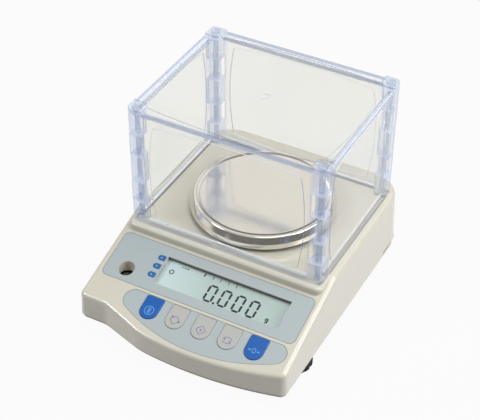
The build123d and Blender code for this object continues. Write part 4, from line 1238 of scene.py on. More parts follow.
@dataclass(frozen=True)
class Display:
    """Liquid crystal panel: its figures, scale and marks stand just above the glass."""

    plane: ConsolePlane = ConsolePlane()
    glass_depth: float = 3.4 * MM
    ink_foot: float = 0.01 * MM
    ink: float = 0.05 * MM
    first_digit_x: float = 1.4 * MM
    digit_pitch: float = 12.05 * MM
    digit_count: int = 4
    digit_width: float = 6.3 * MM
    digit_height: float = 13.6 * MM
    digit_base: float = -13.2 * MM
    digit_slant: float = 0.03
    segment_width: float = 1.75 * MM
    segment_gap: float = 0.25 * MM
    point_x: float = 10.3 * MM
    unit_x: float = 54.7 * MM
    unit_t: float = -10.6 * MM
    unit_radius: float = 0.95 * MM
    unit_width: float = 0.95 * MM
    stem_rise: float = 1.2 * MM
    stem_drop: float = 1.7 * MM
    hook_sweep: float = -150
    ring_points: int = 24
    ring_place: Point = (-32.9 * MM, -0.6 * MM)
    ring_radius: float = 1.7 * MM
    ring_width: float = 0.75 * MM
    scale_places: tuple[float, ...] = (-7.1 * MM, 0.4 * MM, 6.6 * MM, 13.7 * MM, 20.5 * MM)
    scale_t: float = 6.7 * MM
    scale_height: float = 3.0 * MM
    scale_width: float = 0.7 * MM
    first_mark: float = 2.2
    steady_place: Point = (-24.1 * MM, 6.3 * MM)
    steady_bars: tuple[tuple[float, float, float], ...] = (
        (-3.2, -1.4, 0.6),
        (-0.9, 0.3, 1.2),
        (0.9, 3.2, 0.9),
    )
    # Painted shadow: a black strip under the window's upper edge.
    shade_left: float = -39.9 * MM
    shade_right: float = 66.0 * MM
    shade_t: float = 8.75 * MM
    shade_width: float = 0.8 * MM
    shade_depth: float = 1.65 * MM
    shade_thickness: float = 0.4 * MM

    def build(self, frame: dict[str, Any]) -> None:
        """Dresses the panel and its frame and adds what it shows.
        """
        dress(frame, LCD_GLASS, "lcd_panel")
        dress(frame, WINDOW_CLEAR, "lcd_window")
        dress(frame, WHITE_PLASTIC, "lcd_frame")
        self._figures().finish(LCD_INK, "root", "black_plastic")
        self._scale().finish(LCD_FAINT, "root", "black_plastic")
        # Painted shadow: a black strip under the window's upper edge.
        self._shade().finish(BLACK_PLASTIC, "root", "black_plastic")

    def _art(self, name: str) -> Artwork:
        """Artwork that lies on the glass."""
        return Artwork(name, self.plane, -self.glass_depth + self.ink_foot, -self.glass_depth + self.ink)

    def _corner(self, x: float, place: Point) -> Point:
        """A place in a digit's box, from one by one to its real size and slant."""
        t = self.digit_base + place[1] * self.digit_height
        return (x + place[0] * self.digit_width + place[1] * self.digit_height * self.digit_slant, t)

    def _bar(self, art: Artwork, x: float, segment: Segment) -> None:
        """Adds one bar of a figure, with pointed ends.

        Args:
            art: Where it is drawn.
            x: The left side of the figure.
            segment: Which bar it is.
        """
        start, end = (Vector(self._corner(x, place)) for place in segment.value)
        along = (end - start).normalized()
        start, end = start + along * self.segment_gap, end - along * self.segment_gap
        half = self.segment_width / 2
        side = Vector((-along.y, along.x)) * half
        point = along * half
        near, far = start + point, end - point
        outline = (start, near - side, far - side, end, far + side, near + side)
        art.polygon([tuple(corner) for corner in outline])

    def _figures(self) -> Artwork:
        """The reading, its point, the unit and the ring.

        Returns:
            The artwork.
        """
        art = self._art("display_figures")
        for number in range(self.digit_count):
            for segment in ZERO:
                self._bar(art, self.first_digit_x + number * self.digit_pitch, segment)
        half = self.segment_width / 2
        x, t = self.point_x, self.digit_base
        art.polygon([(x - half, t - half), (x + half, t - half), (x + half, t + half), (x - half, t + half)])
        art.stroke(ring(self.ring_place, self.ring_radius, self.ring_points), self.ring_width, closed=True)
        self._unit(art)
        return art

    def _unit(self, art: Artwork) -> None:
        """Adds the small unit sign: a bowl with a stem that hooks back below it.

        Args:
            art: Where it is drawn.
        """
        x, t, bowl = self.unit_x, self.unit_t, self.unit_radius
        art.stroke(ring((x, t), bowl, self.ring_points), self.unit_width, closed=True)
        foot = t - self.stem_drop
        hook = arc((x, foot), bowl, 0, self.hook_sweep, 8)
        art.stroke([(x + bowl, t + self.stem_rise), (x + bowl, foot), *hook[1:]], self.unit_width)

    def _scale(self) -> Artwork:
        """The row of small bars and the steady sign.

        Returns:
            The artwork.
        """
        art = self._art("display_scale")
        for number, x in enumerate(self.scale_places):
            width = self.scale_width * (self.first_mark if number == 0 else 1.0)
            foot, head = self.scale_t - self.scale_height / 2, self.scale_t + self.scale_height / 2
            art.stroke([(x, foot), (x, head)], width)
        x, t = self.steady_place
        for start, end, width in self.steady_bars:
            art.stroke([(x + start * MM, t), (x + end * MM, t)], width * MM)
        return art

    def _shade(self) -> Artwork:
        """A black strip that paints the shadow under the window's upper edge.

        Returns:
            The artwork.
        """
        face = -self.shade_depth
        art = Artwork("window_painted_shadow", self.plane, face - self.shade_thickness, face)
        art.stroke([(self.shade_left, self.shade_t), (self.shade_right, self.shade_t)], self.shade_width)
        return art


@dataclass(frozen=True)
class KeySigns:
    """The plain signs printed on the keys."""

    middle_t: float = -39.2 * MM
    line: float = 0.5 * MM
    ring_radius: float = 3.7 * MM
    ring_points: int = 48
    bar_half: float = 1.7 * MM
    bar_width: float = 0.6 * MM
    capsule_half: Point = (1.0 * MM, 2.4 * MM)
    capsule_radius: float = 0.95 * MM
    capsule_line: float = 0.35 * MM
    corner_inset: float = 0.9 * MM
    corner_share: float = 0.7
    range_reach: float = 3.9 * MM
    range_arrows: tuple[tuple[Point, float, float], ...] = (
        ((-1.9 * MM, 2.6 * MM), 20, 1.7 * MM),
        ((3.3 * MM, -1.4 * MM), 250, 1.6 * MM),
    )
    function_reach: float = 4.0 * MM
    function_half: float = 1.0 * MM
    oval: float = 0.72
    chase_starts: tuple[tuple[float, int], ...] = ((20, -1), (200, 1))
    chase_sweep: float = 140
    chase_heading: float = 160
    chase_head: float = 1.7 * MM
    chase_step: float = 0.5 * MM
    zero_half: Point = (1.3 * MM, 1.8 * MM)
    zero_radius: float = 1.2 * MM
    tare_far: float = 4.9 * MM
    tare_close: float = 2.3 * MM
    tare_head: float = 1.5 * MM
    tare_neck: float = 0.9 * MM
    head_spread: float = 0.6

    def _box(self, x: float, half: Point, radius: float) -> list[Point]:
        """A round-cornered box about the middle of a key."""
        t = self.middle_t
        return rounded_box(x - half[0], x + half[0], t - half[1], t + half[1], [radius] * 4)

    def _diamond(self, art: Artwork, x: float, reach: float) -> None:
        """Draws a turned square with round corners.

        Args:
            art: Where it is drawn.
            x: The middle of its key.
            reach: How far its corners would reach if they were sharp.
        """
        corners: list[Point] = []
        near = reach - self.corner_inset
        radius = self.corner_inset * self.corner_share
        for heading in (0, 90, 180, 270):
            angle = math.radians(heading)
            tip = (x + near * math.cos(angle), self.middle_t + near * math.sin(angle))
            corners += arc(tip, radius, heading - 45, heading + 45, 4)
        art.stroke(corners, self.line, closed=True)

    def _arrowhead(self, art: Artwork, tip: Point, heading: float, size: float) -> None:
        """Draws a filled triangle.

        Args:
            art: Where it is drawn.
            tip: Its point.
            heading: The way it points, in degrees.
            size: Its length.
        """
        ahead = Vector((math.cos(math.radians(heading)), math.sin(math.radians(heading))))
        side = Vector((-ahead.y, ahead.x)) * size * self.head_spread
        back = Vector(tip) - ahead * size
        art.polygon([tip, tuple(back - side), tuple(back + side)])

    def power(self, art: Artwork, x: float) -> None:
        """Draws a bar in a capsule inside a ring.

        Args:
            art: Where it is drawn.
            x: The middle of its key.
        """
        t = self.middle_t
        art.stroke(ring((x, t), self.ring_radius, self.ring_points), self.line, closed=True)
        art.stroke([(x, t - self.bar_half), (x, t + self.bar_half)], self.bar_width)
        art.stroke(self._box(x, self.capsule_half, self.capsule_radius), self.capsule_line, closed=True)

    def zero_range(self, art: Artwork, x: float) -> None:
        """Draws a turned square that an arrow enters from the left and one leaves below.

        Args:
            art: Where it is drawn.
            x: The middle of its key.
        """
        self._diamond(art, x, self.range_reach)
        for (across, up), heading, size in self.range_arrows:
            self._arrowhead(art, (x + across, self.middle_t + up), heading, size)

    def function(self, art: Artwork, x: float) -> None:
        """Draws a turned square with a smaller one in it.

        Args:
            art: Where it is drawn.
            x: The middle of its key.
        """
        self._diamond(art, x, self.function_reach)
        t, half = self.middle_t, self.function_half
        art.polygon([(x, t - half), (x + half, t), (x, t + half), (x - half, t)])

    def transfer(self, art: Artwork, x: float) -> None:
        """Draws two arrows that chase each other round an oval.

        Args:
            art: Where it is drawn.
            x: The middle of its key.
        """
        t = self.middle_t
        for start, side in self.chase_starts:
            curve = arc((x, t), self.ring_radius, start, start + self.chase_sweep, 16)
            curve = [(px, t + (pt - t) * self.oval) for px, pt in curve]
            art.stroke(curve, self.line)
            tip = (curve[-1][0], curve[-1][1] + side * self.chase_step)
            self._arrowhead(art, tip, start + self.chase_heading, self.chase_head)

    def tare(self, art: Artwork, x: float) -> None:
        """Draws an arrow into a zero and an arrow out of it.

        Args:
            art: Where it is drawn.
            x: The middle of its key.
        """
        t = self.middle_t
        art.stroke(self._box(x, self.zero_half, self.zero_radius), self.line, closed=True)
        for tail, tip in ((x - self.tare_far, x - self.tare_close), (x + self.tare_close, x + self.tare_far)):
            art.stroke([(tail, t), (tip - self.tare_neck, t)], self.line)
            self._arrowhead(art, (tip, t), 0, self.tare_head)


@dataclass(frozen=True)
class Keypad:
    """Both labels with darker lines along their edges, their tabs, the five keys and their signs."""

    plane: ConsolePlane = ConsolePlane()
    print_height: float = 0.02 * MM
    label_half: float = 83.5 * MM
    label_low: float = -24.0 * MM
    label_high: float = 18.0 * MM
    label_radius: float = 5.0 * MM
    edge_width: float = 0.45 * MM
    left: float = -55.0 * MM
    right: float = 83.0 * MM
    top: float = -26.2 * MM
    lowest: Point = (20.0 * MM, -58.0 * MM)
    end_x: float = 6.0 * MM
    end_t: float = 6.0 * MM
    shoulder_x: float = 4.0 * MM
    shoulder_t: float = 16.0 * MM
    end_steps: int = 12
    low_steps: int = 40
    tab_places: tuple[Point, ...] = (
        (-44.6 * MM, 6.1 * MM),
        (-44.8 * MM, -1.9 * MM),
        (-44.9 * MM, -10.1 * MM),
    )
    tab_width: float = 6.6 * MM
    tab_height: float = 4.9 * MM
    key_count: int = 5
    middle_key_x: float = 14.3 * MM
    key_pitch: float = 22.4 * MM
    key_proud: float = 0.55 * MM
    mark_size: float = 0.7 * MM
    mark_height: float = 1.6
    round_share: float = 0.98
    square_share: float = 0.45
    signs: KeySigns = KeySigns()

    def build(self, frame: dict[str, Any]) -> None:
        """Dresses labels and keys and prints on them.
        """
        dress(frame, LABEL_GREY, "display_label", "keypad_label")
        self._label_edges().finish(LABEL_EDGE, "root", "label")
        self._tabs().finish(TAB_BLUE, "root", "key_blue")
        self._tab_marks().finish(TAB_MARK, "root", "label")
        signs = self.signs
        order = (signs.power, signs.zero_range, signs.function, signs.transfer, signs.tare)
        for number, sign in enumerate(order, start=1):
            blue = number in (1, self.key_count)
            body = f"key_{number}"
            dress(frame, KEY_BLUE if blue else KEY_BEIGE, body)
            x = self.middle_key_x + self.key_pitch * (number - (self.key_count + 1) / 2)
            art = Artwork(f"{body}_sign", self.plane, self.key_proud, self.key_proud + self.print_height)
            sign(art, x)
            art.finish(ICON_PALE if blue else ICON_VIOLET, body, "label")

    def _label_edges(self) -> Artwork:
        """The darker line around each label.

        Returns:
            The artwork.
        """
        inset = self.edge_width / 2
        art = Artwork("label_edges", self.plane, 0.0, self.print_height)
        side, low, high = self.label_half - inset, self.label_low + inset, self.label_high - inset
        outline = rounded_box(-side, side, low, high, [self.label_radius - inset] * 4)
        art.stroke(outline, self.edge_width, closed=True)
        left, right, top = self.left + inset, self.right - inset, self.top - inset
        start, end = (left + self.end_x, top), (right - self.end_x, top)
        low_left = (left + self.shoulder_x, top - self.shoulder_t)
        low_right = (right - self.shoulder_x, top - self.shoulder_t)
        lowest = (self.lowest[0], self.lowest[1] + inset)
        crescent = arc_through(start, (left, top - self.end_t), low_left, self.end_steps)
        crescent += arc_through(low_left, lowest, low_right, self.low_steps)[1:]
        crescent += arc_through(low_right, (right, top - self.end_t), end, self.end_steps)[1:]
        art.stroke(crescent, self.edge_width, closed=True)
        return art

    def _tabs(self) -> Artwork:
        """Three tabs beside the display, round on their left side.

        Returns:
            The artwork.
        """
        art = Artwork("label_tabs", self.plane, 0.0, self.print_height)
        for x, t in self.tab_places:
            half, rise = self.tab_width / 2, self.tab_height / 2
            left, right = self.round_share * rise, self.square_share * rise
            art.polygon(rounded_box(x - half, x + half, t - rise, t + rise, (left, right, right, left)))
        return art

    def _tab_marks(self) -> Artwork:
        """A small pale arrowhead on each tab.

        Returns:
            The artwork.
        """
        art = Artwork("label_tab_marks", self.plane, self.print_height, self.mark_height * self.print_height)
        size = self.mark_size
        for x, t in self.tab_places:
            art.polygon([(x - size, t - size), (x + size, t), (x - size, t + size)])
        return art


@dataclass(frozen=True)
class LevelVial:
    """Bull's-eye level in its hole, with the ring that the bubble is brought into."""

    centre_x: float = -65.8 * MM
    centre_y: float = -70.194 * MM
    top: float = 33.962 * MM
    ring_radius: float = 2.9 * MM
    ring_width: float = 0.35 * MM
    ring_height: float = 0.05 * MM
    ring_points: int = 36

    def build(self, frame: dict[str, Any]) -> None:
        """Dresses the level and adds its ring.
        """
        dress(frame, VIAL_CLEAR, "level_vial", "vial_lens")
        dress(frame, SPIRIT, "vial_liquid")
        dress(frame, WHITE_PLASTIC, "vial_holder")
        level = ConsolePlane(self.centre_y, self.top, 0.0)
        art = Artwork("vial_ring", level, 0.0, self.ring_height)
        outline = ring((self.centre_x, 0.0), self.ring_radius, self.ring_points)
        art.stroke(outline, self.ring_width, closed=True)
        art.finish(BLACK_PLASTIC, "root", "black_plastic")


@dataclass(frozen=True)
class WeighingPan:
    """The spun pan with its bead and flared skirt, its black support and the cushions."""

    centre_y: float = 32.0 * MM
    top: float = 71.7 * MM
    flat_radius: float = 50.8 * MM
    bead_radius: float = 55.4 * MM
    bead_height: float = 0.7 * MM
    shoulder_radius: float = 56.4 * MM
    shoulder_height: float = 71.6 * MM
    shoulder_sweep: float = math.radians(50.0)
    waist_radius: float = 58.7 * MM
    waist_height: float = 66.6 * MM
    lip_radius: float = 59.0 * MM
    lip_height: float = 62.8 * MM
    sheet: float = 0.8 * MM
    rings: int = 72
    sides: int = 193
    shares: tuple[float, ...] = (0.0, 0.3, 0.5, 0.7, 0.86, 1.0)
    bead_share: float = 0.7
    weld: float = 0.004 * MM

    def build(self, frame: dict[str, Any]) -> None:
        """Makes the pan and dresses what is under it.
        """
        dress(frame, BLACK_PLASTIC, "pan_support")
        dress(frame, CUSHION_RUBBER, "pan_cushions")
        pan = self._spin()
        skin = pan.modifiers.new("sheet", "SOLIDIFY")
        skin.thickness = self.sheet
        skin.offset = -1.0
        mount(pan, "pan", "pan_steel", "weighing_pan")

    def _sizes(self) -> dict[str, float]:
        """The named inputs of the pan's tree.

        Returns:
            Each size by its name.
        """
        return {
            "Flat radius": self.flat_radius,
            "Bead radius": self.bead_radius,
            "Bead height": self.bead_height,
            "Shoulder radius": self.shoulder_radius,
            "Shoulder drop": self.top + self.bead_height - self.shoulder_height,
            "Waist radius": self.waist_radius,
            "Waist drop": self.shoulder_height - self.waist_height,
            "Lip radius": self.lip_radius,
            "Lip drop": self.waist_height - self.lip_height,
            "Top": self.top,
            "Centre Y": self.centre_y,
            "Rings": self.rings,
            "Sides": self.sides,
        }

    def _profile(self, tree: GeoTree, along: Sock) -> tuple[Sock, Sock]:
        """The pan's outline from its middle to its lip: flat, bead, shoulder, cone and skirt.

        Args:
            tree: The shape under construction.
            along: How far along the outline, 0 to 1.

        Returns:
            The distance from the axis and the height.
        """
        spans = list(zip(self.shares, self.shares[1:]))
        flat, rise, cone, skirt = (tree.span(along, *spans[part]) for part in (0, 1, 3, 4))
        round_over = tree.span(along, *spans[2], 0.0, self.shoulder_sweep)
        sweep_out, sweep_down = math.sin(self.shoulder_sweep), 1.0 - math.cos(self.shoulder_sweep)
        radius = (
            flat * tree.size("Flat radius")
            + rise * (tree.size("Bead radius") - tree.size("Flat radius"))
            + round_over.sine() / sweep_out * (tree.size("Shoulder radius") - tree.size("Bead radius"))
            + cone * (tree.size("Waist radius") - tree.size("Shoulder radius"))
            + skirt * (tree.size("Lip radius") - tree.size("Waist radius"))
        )
        height = (
            tree.size("Top")
            + tree.span(rise, 0.0, self.bead_share, smooth=True) * tree.size("Bead height")
            - (1.0 - round_over.cosine()) / sweep_down * tree.size("Shoulder drop")
            - cone * tree.size("Waist drop")
            - skirt * tree.size("Lip drop")
        )
        return radius, height

    def _spin(self) -> bpy.types.Object:
        """The pan's outer face as a generated shape: a grid wound round the axis.

        Returns:
            The face, with no thickness yet.
        """
        tree = GeoTree("spun_pan", self._sizes())
        counts = {"Vertices X": tree.size("Rings"), "Vertices Y": tree.size("Sides")}
        grid = tree.value("GeometryNodeMeshGrid", inputs={**counts, "Size X": 1.0, "Size Y": 1.0})
        x, y, _ = tree.split(tree.value("GeometryNodeInputPosition"))
        radius, height = self._profile(tree, x + 0.5)
        turn = (y + 0.5) * (2 * math.pi)
        place = tree.vector(radius * turn.cosine(), radius * turn.sine() + tree.size("Centre Y"), height)
        wound = tree.value("GeometryNodeSetPosition", inputs={"Geometry": grid, "Position": place})
        sewn = tree.value("GeometryNodeMergeByDistance", inputs={"Geometry": wound, "Distance": self.weld})
        smooth = tree.value("GeometryNodeSetShadeSmooth", inputs={"Geometry": sewn})
        return tree.bake(smooth, material(PAN_STEEL))


@dataclass(frozen=True)
class DraftShield:
    """Four clear walls with interleaved corners, their pins and the lid."""

    edge_width: float = 0.45 * MM
    edge_segments: int = 2
    sharp_deg: float = 40.0
    flat_deg: float = 1.0
    weld: float = 0.002 * MM
    sheets: tuple[tuple[str, str, Sheet], ...] = (
        ("front_panel", "shield", Sheet.ALONG),
        ("back_panel", "shield", Sheet.ALONG),
        ("left_panel", "shield", Sheet.ACROSS),
        ("right_panel", "shield", Sheet.ACROSS),
        ("lid", "lid", Sheet.LEVEL),
    )

    def build(self, frame: dict[str, Any]) -> None:
        """Makes the sheets with their moulded edges broken, and dresses the pins.
        """
        for name, body, sheet in self.sheets:
            mount(self._moulded(frame, name, SHIELD_CLEAR[sheet]), body, "clear", "shield_" + name)
        dress(frame, PIN_CLEAR, "shield_corner_pins")

    def _moulded(self, frame: dict[str, Any], name: str, finish: Finish) -> bpy.types.Object:
        """Takes one sheet's shape from the frame and breaks its sharp edges.

        Args:
            name: The sheet's name, without the shield's.
            finish: What it is made of.

        Returns:
            The new sheet.
        """
        shape = bmesh.new()
        shape.from_mesh(frame["nodes"]["shield_" + name].data)
        bmesh.ops.remove_doubles(shape, verts=shape.verts, dist=self.weld)
        flat = math.radians(self.flat_deg)
        parts = {"verts": shape.verts, "edges": shape.edges}
        bmesh.ops.dissolve_limit(shape, angle_limit=flat, delimit={"NORMAL"}, **parts)
        mesh = bpy.data.meshes.new("clear_" + name)
        shape.to_mesh(mesh)
        shape.free()
        mesh.materials.append(material(finish))
        piece = linked(bpy.data.objects.new("clear_" + name, mesh))
        edges = piece.modifiers.new("broken_edges", "BEVEL")
        edges.width = self.edge_width
        edges.segments = self.edge_segments
        edges.limit_method = "ANGLE"
        edges.angle_limit = math.radians(self.sharp_deg)
        return piece


@dataclass(frozen=True)
class LoadCell:
    """Frame, parallel arms, lever and tuning fork."""

    def build(self, frame: dict[str, Any]) -> None:
        """Dresses the load cell.
        """
        dress(frame, CAST_ALLOY, "sensor_frame")
        dress(frame, MILLED_ALLOY, "upper_flexure_arm", "lower_flexure_arm", "floating_column")
        dress(frame, MILLED_ALLOY, "fork_lever", "tuning_fork")
        dress(frame, TURNED_BRASS, "fork_piezos")
        dress(frame, PLATED_STEEL, "load_shaft", "overload_stop_screw")


@dataclass(frozen=True)
class Electronics:
    """Both boards, switches, ribbon and the connectors at the back with their contacts."""

    serial_x: float = 28.0 * MM
    serial_z: float = 25.85 * MM
    pin_y: float = 112.9 * MM
    pin_pitch: float = 2.77 * MM
    row_gap: float = 2.84 * MM
    pin_diameter: float = 1.0 * MM
    pin_length: float = 4.6 * MM
    pin_sides: int = 16
    tip_radius: float = 0.4
    tip_length: float = 0.8
    long_row: int = 5

    def build(self, frame: dict[str, Any]) -> None:
        """Dresses the electronics and adds the connector's pins.
        """
        dress(frame, GREEN_BOARD, "display_board", "main_board")
        dress(frame, CHIP_RESIN, "main_board_chips")
        dress(frame, BLACK_PLASTIC, "key_switches", "dc_jack")
        dress(frame, WHITE_PLASTIC, "ribbon_sockets")
        dress(frame, GREY_RIBBON, "ribbon_cable")
        dress(frame, PLATED_STEEL, "serial_port", "serial_jackscrews")
        mount(self._pins(), "root", "brass")

    def _pins(self) -> bpy.types.Object:
        """Nine round-ended contacts in two rows.

        Returns:
            The contacts.
        """
        tree = GeoTree("serial_pins", {"Diameter": self.pin_diameter, "Length": self.pin_length})
        radius, length = tree.size("Diameter") * 0.5, tree.size("Length")
        stem = tree.move(tree.drum(radius, length, self.pin_sides), tree.vector(0.0, 0.0, length * 0.5))
        tip = tree.cone(radius, radius * self.tip_radius, radius * self.tip_length, self.pin_sides)
        tip = tree.move(tip, tree.vector(0.0, 0.0, length))
        pins = tree.on_points(tree.join(stem, tip), (-math.pi / 2, 0.0, 0.0))
        places = []
        for row, count in enumerate((self.long_row, self.long_row - 1)):
            for i in range(count):
                x = self.serial_x + (i - (count - 1) / 2) * self.pin_pitch
                places.append(Vector((x, self.pin_y, self.serial_z + (0.5 - row) * self.row_gap)))
        return tree.bake(pins, material(TURNED_BRASS), places)


@dataclass(frozen=True)
class Feet:
    """Four levelling feet and the threaded inserts that hold them."""

    count: int = 4

    def build(self, frame: dict[str, Any]) -> None:
        """Dresses wheels, studs and inserts.
        """
        for number in range(1, self.count + 1):
            dress(frame, FOOT_RUBBER, f"foot_knob_{number}")
            dress(frame, PLATED_STEEL, f"foot_stud_{number}")
        dress(frame, TURNED_BRASS, "foot_inserts")


@dataclass(frozen=True)
class ScrewSet:
    """One group of identical cross-recessed screws."""

    node: str
    head_diameter: float
    shank_diameter: float
    length: float
    tilt: float
    seats: tuple[tuple[float, float, float], ...]


@dataclass(frozen=True)
class Fasteners:
    """Every cross-recessed screw, generated with its recess in place of the plain CAD one.

    The seats and their heights are in millimetres.
    """

    large: Point = (5.6 * MM, 3.0 * MM)
    small: Point = (4.6 * MM, 2.5 * MM)
    housing_length: float = 14.0 * MM
    sensor_length: float = 9.0 * MM
    board_length: float = 6.0 * MM
    head_height: float = 2.0 * MM
    head_side: float = 0.45
    crown: float = 0.72
    head_sides: int = 40
    shank_sides: int = 32
    recess_span: float = 0.62
    recess_width: float = 0.17
    recess_depth: float = 1.1 * MM
    plane: ConsolePlane = ConsolePlane()
    housing_seats: tuple[Point, ...] = ((80.5, -88.6), (80.5, 20.0), (50.0, 107.5))
    housing_seat_z: float = 12.6
    sensor_seats: tuple[Point, ...] = ((-38.0, -8.0), (-38.0, 80.0), (38.0, -8.0), (38.0, 80.0))
    sensor_seat_z: float = 20.0
    board_seats: tuple[Point, ...] = ((-62.0, -36.0), (-62.0, 62.0), (-14.0, 101.0), (38.0, 94.5))
    board_seat_z: float = 19.6
    display_seats: tuple[Point, ...] = ((-51.7, -36.8), (78.3, -24.0), (-51.7, 10.0), (78.3, 10.0))
    display_seat_depth: float = 13.0

    def sets(self) -> tuple[ScrewSet, ...]:
        """The groups, with each screw's place at the face under its head.

        Returns:
            One set for each CAD node of screws.
        """
        down = math.pi
        slope = math.radians(self.plane.slope_deg)
        housing = [(s * x, y, self.housing_seat_z) for x, y in self.housing_seats for s in (-1, 1)]
        sensor = [(x, y, self.sensor_seat_z) for x, y in self.sensor_seats]
        board = [(x, y, self.board_seat_z) for x, y in self.board_seats]
        seat = -self.display_seat_depth * MM
        display = tuple(tuple(self.plane.at(x * MM, t * MM, seat)) for x, t in self.display_seats)
        return (
            ScrewSet("housing_screws", *self.large, self.housing_length, down, self._metres(housing)),
            ScrewSet("sensor_frame_screws", *self.large, self.sensor_length, 0.0, self._metres(sensor)),
            ScrewSet("main_board_screws", *self.small, self.board_length, 0.0, self._metres(board)),
            ScrewSet("display_board_screws", *self.small, self.board_length, down + slope, display),
        )

    @staticmethod
    def _metres(places: Sequence[Sequence[float]]) -> tuple[tuple[float, float, float], ...]:
        """Places in millimetres as metres."""
        return tuple(tuple(c * MM for c in place) for place in places)

    def build(self, frame: dict[str, Any]) -> None:
        """Makes every group in place of its CAD node."""
        for group in self.sets():
            mount(self._screws(group), "root", "steel", group.node)

    def _screws(self, group: ScrewSet) -> bpy.types.Object:
        """Makes a group of screws: rounded head, cross recess and shank on each point.

        Args:
            group: The screws' sizes and places.

        Returns:
            The screws.
        """
        sizes = {
            "Head diameter": group.head_diameter,
            "Head height": self.head_height,
            "Shank diameter": group.shank_diameter,
            "Length": group.length,
            "Recess depth": self.recess_depth,
        }
        tree = GeoTree(f"cross_{group.node}", sizes)
        width, height, length = tree.size("Head diameter"), tree.size("Head height"), tree.size("Length")
        side = height * self.head_side
        radius = width * 0.5
        skirt = tree.move(tree.drum(radius, side, self.head_sides), tree.vector(0.0, 0.0, side * 0.5))
        crown = tree.cone(radius, radius * self.crown, height - side, self.head_sides)
        crown = tree.move(crown, tree.vector(0.0, 0.0, side))
        slot = tree.brick(width * self.recess_span, width * self.recess_width, tree.size("Recess depth") * 2)
        blade = tree.move(slot, tree.vector(0.0, 0.0, height))
        cross = tree.move(blade, turn=(0.0, 0.0, math.pi / 2))
        head = tree.minus(tree.join(skirt, crown), blade, cross)
        shank = tree.drum(tree.size("Shank diameter") * 0.5, length, self.shank_sides)
        shank = tree.move(shank, tree.vector(0.0, 0.0, length * -0.5))
        screws = tree.on_points(tree.join(head, shank), (group.tilt, 0.0, 0.0))
        return tree.bake(screws, material(PLATED_STEEL), [Vector(seat) for seat in group.seats])


# Studio


@dataclass(frozen=True)
class StudioCamera:
    """The camera, at the photograph's viewing angle."""

    azimuth_deg: float = 28.158
    elevation_deg: float = 39.152
    roll_deg: float = 0.339
    distance: float = 1.03017
    target: tuple[float, float, float] = (-0.00529, 0.002, 0.0733)
    lens_mm: float = 98.93
    sensor_mm: float = 36.0
    nearest: float = 0.05

    def build(self) -> None:
        """Adds the camera and makes it the scene's own."""
        angles = (self.azimuth_deg, self.elevation_deg, self.roll_deg)
        azimuth, elevation, roll = (math.radians(angle) for angle in angles)
        reach = math.cos(elevation)
        back = Vector((math.sin(azimuth) * reach, -math.cos(azimuth) * reach, math.sin(elevation)))
        level = Vector((0.0, 0.0, 1.0)).cross(back).normalized()
        upright = back.cross(level)
        right = level * math.cos(roll) + upright * math.sin(roll)
        up = upright * math.cos(roll) - level * math.sin(roll)
        place = Matrix((right, up, back)).transposed().to_4x4()
        place.translation = Vector(self.target) + back * self.distance
        lens = bpy.data.cameras.new("camera")
        lens.lens = self.lens_mm
        lens.sensor_width = self.sensor_mm
        lens.sensor_fit = "HORIZONTAL"
        lens.clip_start = self.nearest
        camera = linked(bpy.data.objects.new("camera", lens))
        camera.matrix_world = place
        bpy.context.scene.camera = camera


@dataclass(frozen=True)
class SoftBox:
    """One square lamp that faces a point."""

    name: str
    place: tuple[float, float, float]
    size: float
    power: float
    aim: tuple[float, float, float] = (0.0, 0.0, 0.05)
    colour: Colour = WHITE

    def build(self) -> None:
        """Adds the lamp."""
        lamp = bpy.data.lights.new(self.name, "AREA")
        lamp.shape = "SQUARE"
        lamp.size = self.size
        lamp.energy = self.power
        lamp.color = self.colour
        light = linked(bpy.data.objects.new(self.name, lamp))
        light.location = self.place
        facing = Vector(self.aim) - Vector(self.place)
        light.rotation_euler = facing.to_track_quat("-Z", "Y").to_euler()


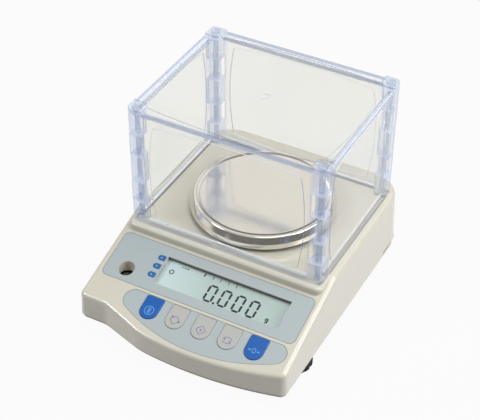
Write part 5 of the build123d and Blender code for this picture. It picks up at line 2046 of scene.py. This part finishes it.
@dataclass(frozen=True)
class Studio:
    """Pale floor, white surround and soft lamps."""

    floor_size: float = 6.0
    floor_white: float = 0.95
    floor_colour: Colour = (0.34, 0.34, 0.34)
    surround: float = 0.12
    clear_layers: int = 64
    horizon: float = 0.12
    overhead: float = 0.15
    first_bounce: Point = (0.25, 0.75)
    brightens: Point = (0.3, 0.58)
    darkens: Point = (0.72, 0.88)
    grain_scale: float = 400.0
    grain_shade: float = 0.99
    lamps: tuple[SoftBox, ...] = (
        SoftBox("overhead", (0.3, 0.15, 1.45), 0.9, 10.5),
        SoftBox("right_side", (1.35, 0.15, 0.75), 0.9, 13.3),
        SoftBox("left_front", (-0.93, -0.68, 1.07), 0.36, 8.0),
    )

    def build(self) -> None:
        """Adds floor, surround and lamps, and sets the plain view."""
        self._floor()
        self._surround()
        for lamp in self.lamps:
            lamp.build()
        bpy.context.scene.view_settings.view_transform = "Standard"
        bpy.context.scene.cycles.transparent_max_bounces = self.clear_layers

    def _rays(self, tree: NodeTree) -> tuple[Sock, Sock]:
        """Tells which rays look at something, up to the first matt bounce.

        Args:
            tree: The tree that asks.

        Returns:
            1 for rays seen straight or through glass, and 1 for rays seen in gloss.
        """
        path = tree.node("ShaderNodeLightPath")
        names = ("Is Camera Ray", "Is Glossy Ray", "Is Transmission Ray", "Diffuse Depth")
        camera, glossy, through, depth = (Sock(tree, path.outputs[name]) for name in names)
        direct = tree.span(depth, *self.first_bounce, 1.0, 0.0)
        return camera.highest(through * direct), glossy * direct

    def _floor(self) -> None:
        """A flat pale floor that keeps the object's shadow and looks white."""
        shader = Shader("floor_paper")
        grain = shader.noise(shader.place(), self.grain_scale)
        tone = shader.mix(grain, self.floor_colour, shaded(self.floor_colour, self.grain_shade))
        paper = shader.value("ShaderNodeBsdfDiffuse", inputs={"Color": tone})
        glow = shader.value("ShaderNodeEmission", inputs={"Color": (*WHITE, 1.0), "Strength": 1.0})
        straight, glossy = self._rays(shader)
        seen = straight.highest(glossy) * self.floor_white
        shader.show(shader.blend(seen, paper, glow))
        half = self.floor_size / 2
        corners = [(-half, -half, 0), (half, -half, 0), (half, half, 0), (-half, half, 0)]
        mesh = bpy.data.meshes.new("floor")
        mesh.from_pydata(corners, [], [(0, 1, 2, 3)])
        mesh.materials.append(shader.material)
        linked(bpy.data.objects.new("floor", mesh))

    def _surround(self) -> None:
        """A world that looks white, lights softly and lies dark along the horizon in what gloss shows."""
        world = bpy.data.worlds.new("surround")
        world.use_nodes = True
        bpy.context.scene.world = world
        tree = NodeTree(world.node_tree)
        straight, glossy = self._rays(tree)
        height = tree.split(tree.value("ShaderNodeTexCoord", output="Generated"))[2]
        rise = tree.span(height, *self.brightens, smooth=True)
        fall = tree.span(height, *self.darkens, 1.0, self.overhead, smooth=True)
        sky = self.horizon + (1 - self.horizon) * rise * fall
        soft, mirrored, white = (
            tree.value("ShaderNodeBackground", inputs={"Color": (*WHITE, 1.0), "Strength": strength})
            for strength in (self.surround, sky, 1.0)
        )
        in_gloss = tree.value("ShaderNodeMixShader", inputs={0: glossy, 1: soft, 2: mirrored})
        both = tree.value("ShaderNodeMixShader", inputs={0: straight, 1: in_gloss, 2: white})
        tree.node("ShaderNodeOutputWorld", inputs={"Surface": both})


def main() -> None:
    """Builds the dressed balance and its studio."""
    logging.basicConfig(level=logging.INFO, format="%(name)s: %(message)s")
    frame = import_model()
    StudioCamera().build()
    assemblies: tuple[Any, ...] = (
        Housing(),
        Display(),
        Keypad(),
        LevelVial(),
        WeighingPan(),
        DraftShield(),
        LoadCell(),
        Electronics(),
        Feet(),
        Fasteners(),
    )
    for assembly in assemblies:
        assembly.build(frame)
        LOG.info("%s done", type(assembly).__name__)
    Studio().build()


if __name__ == "__main__":
    main()
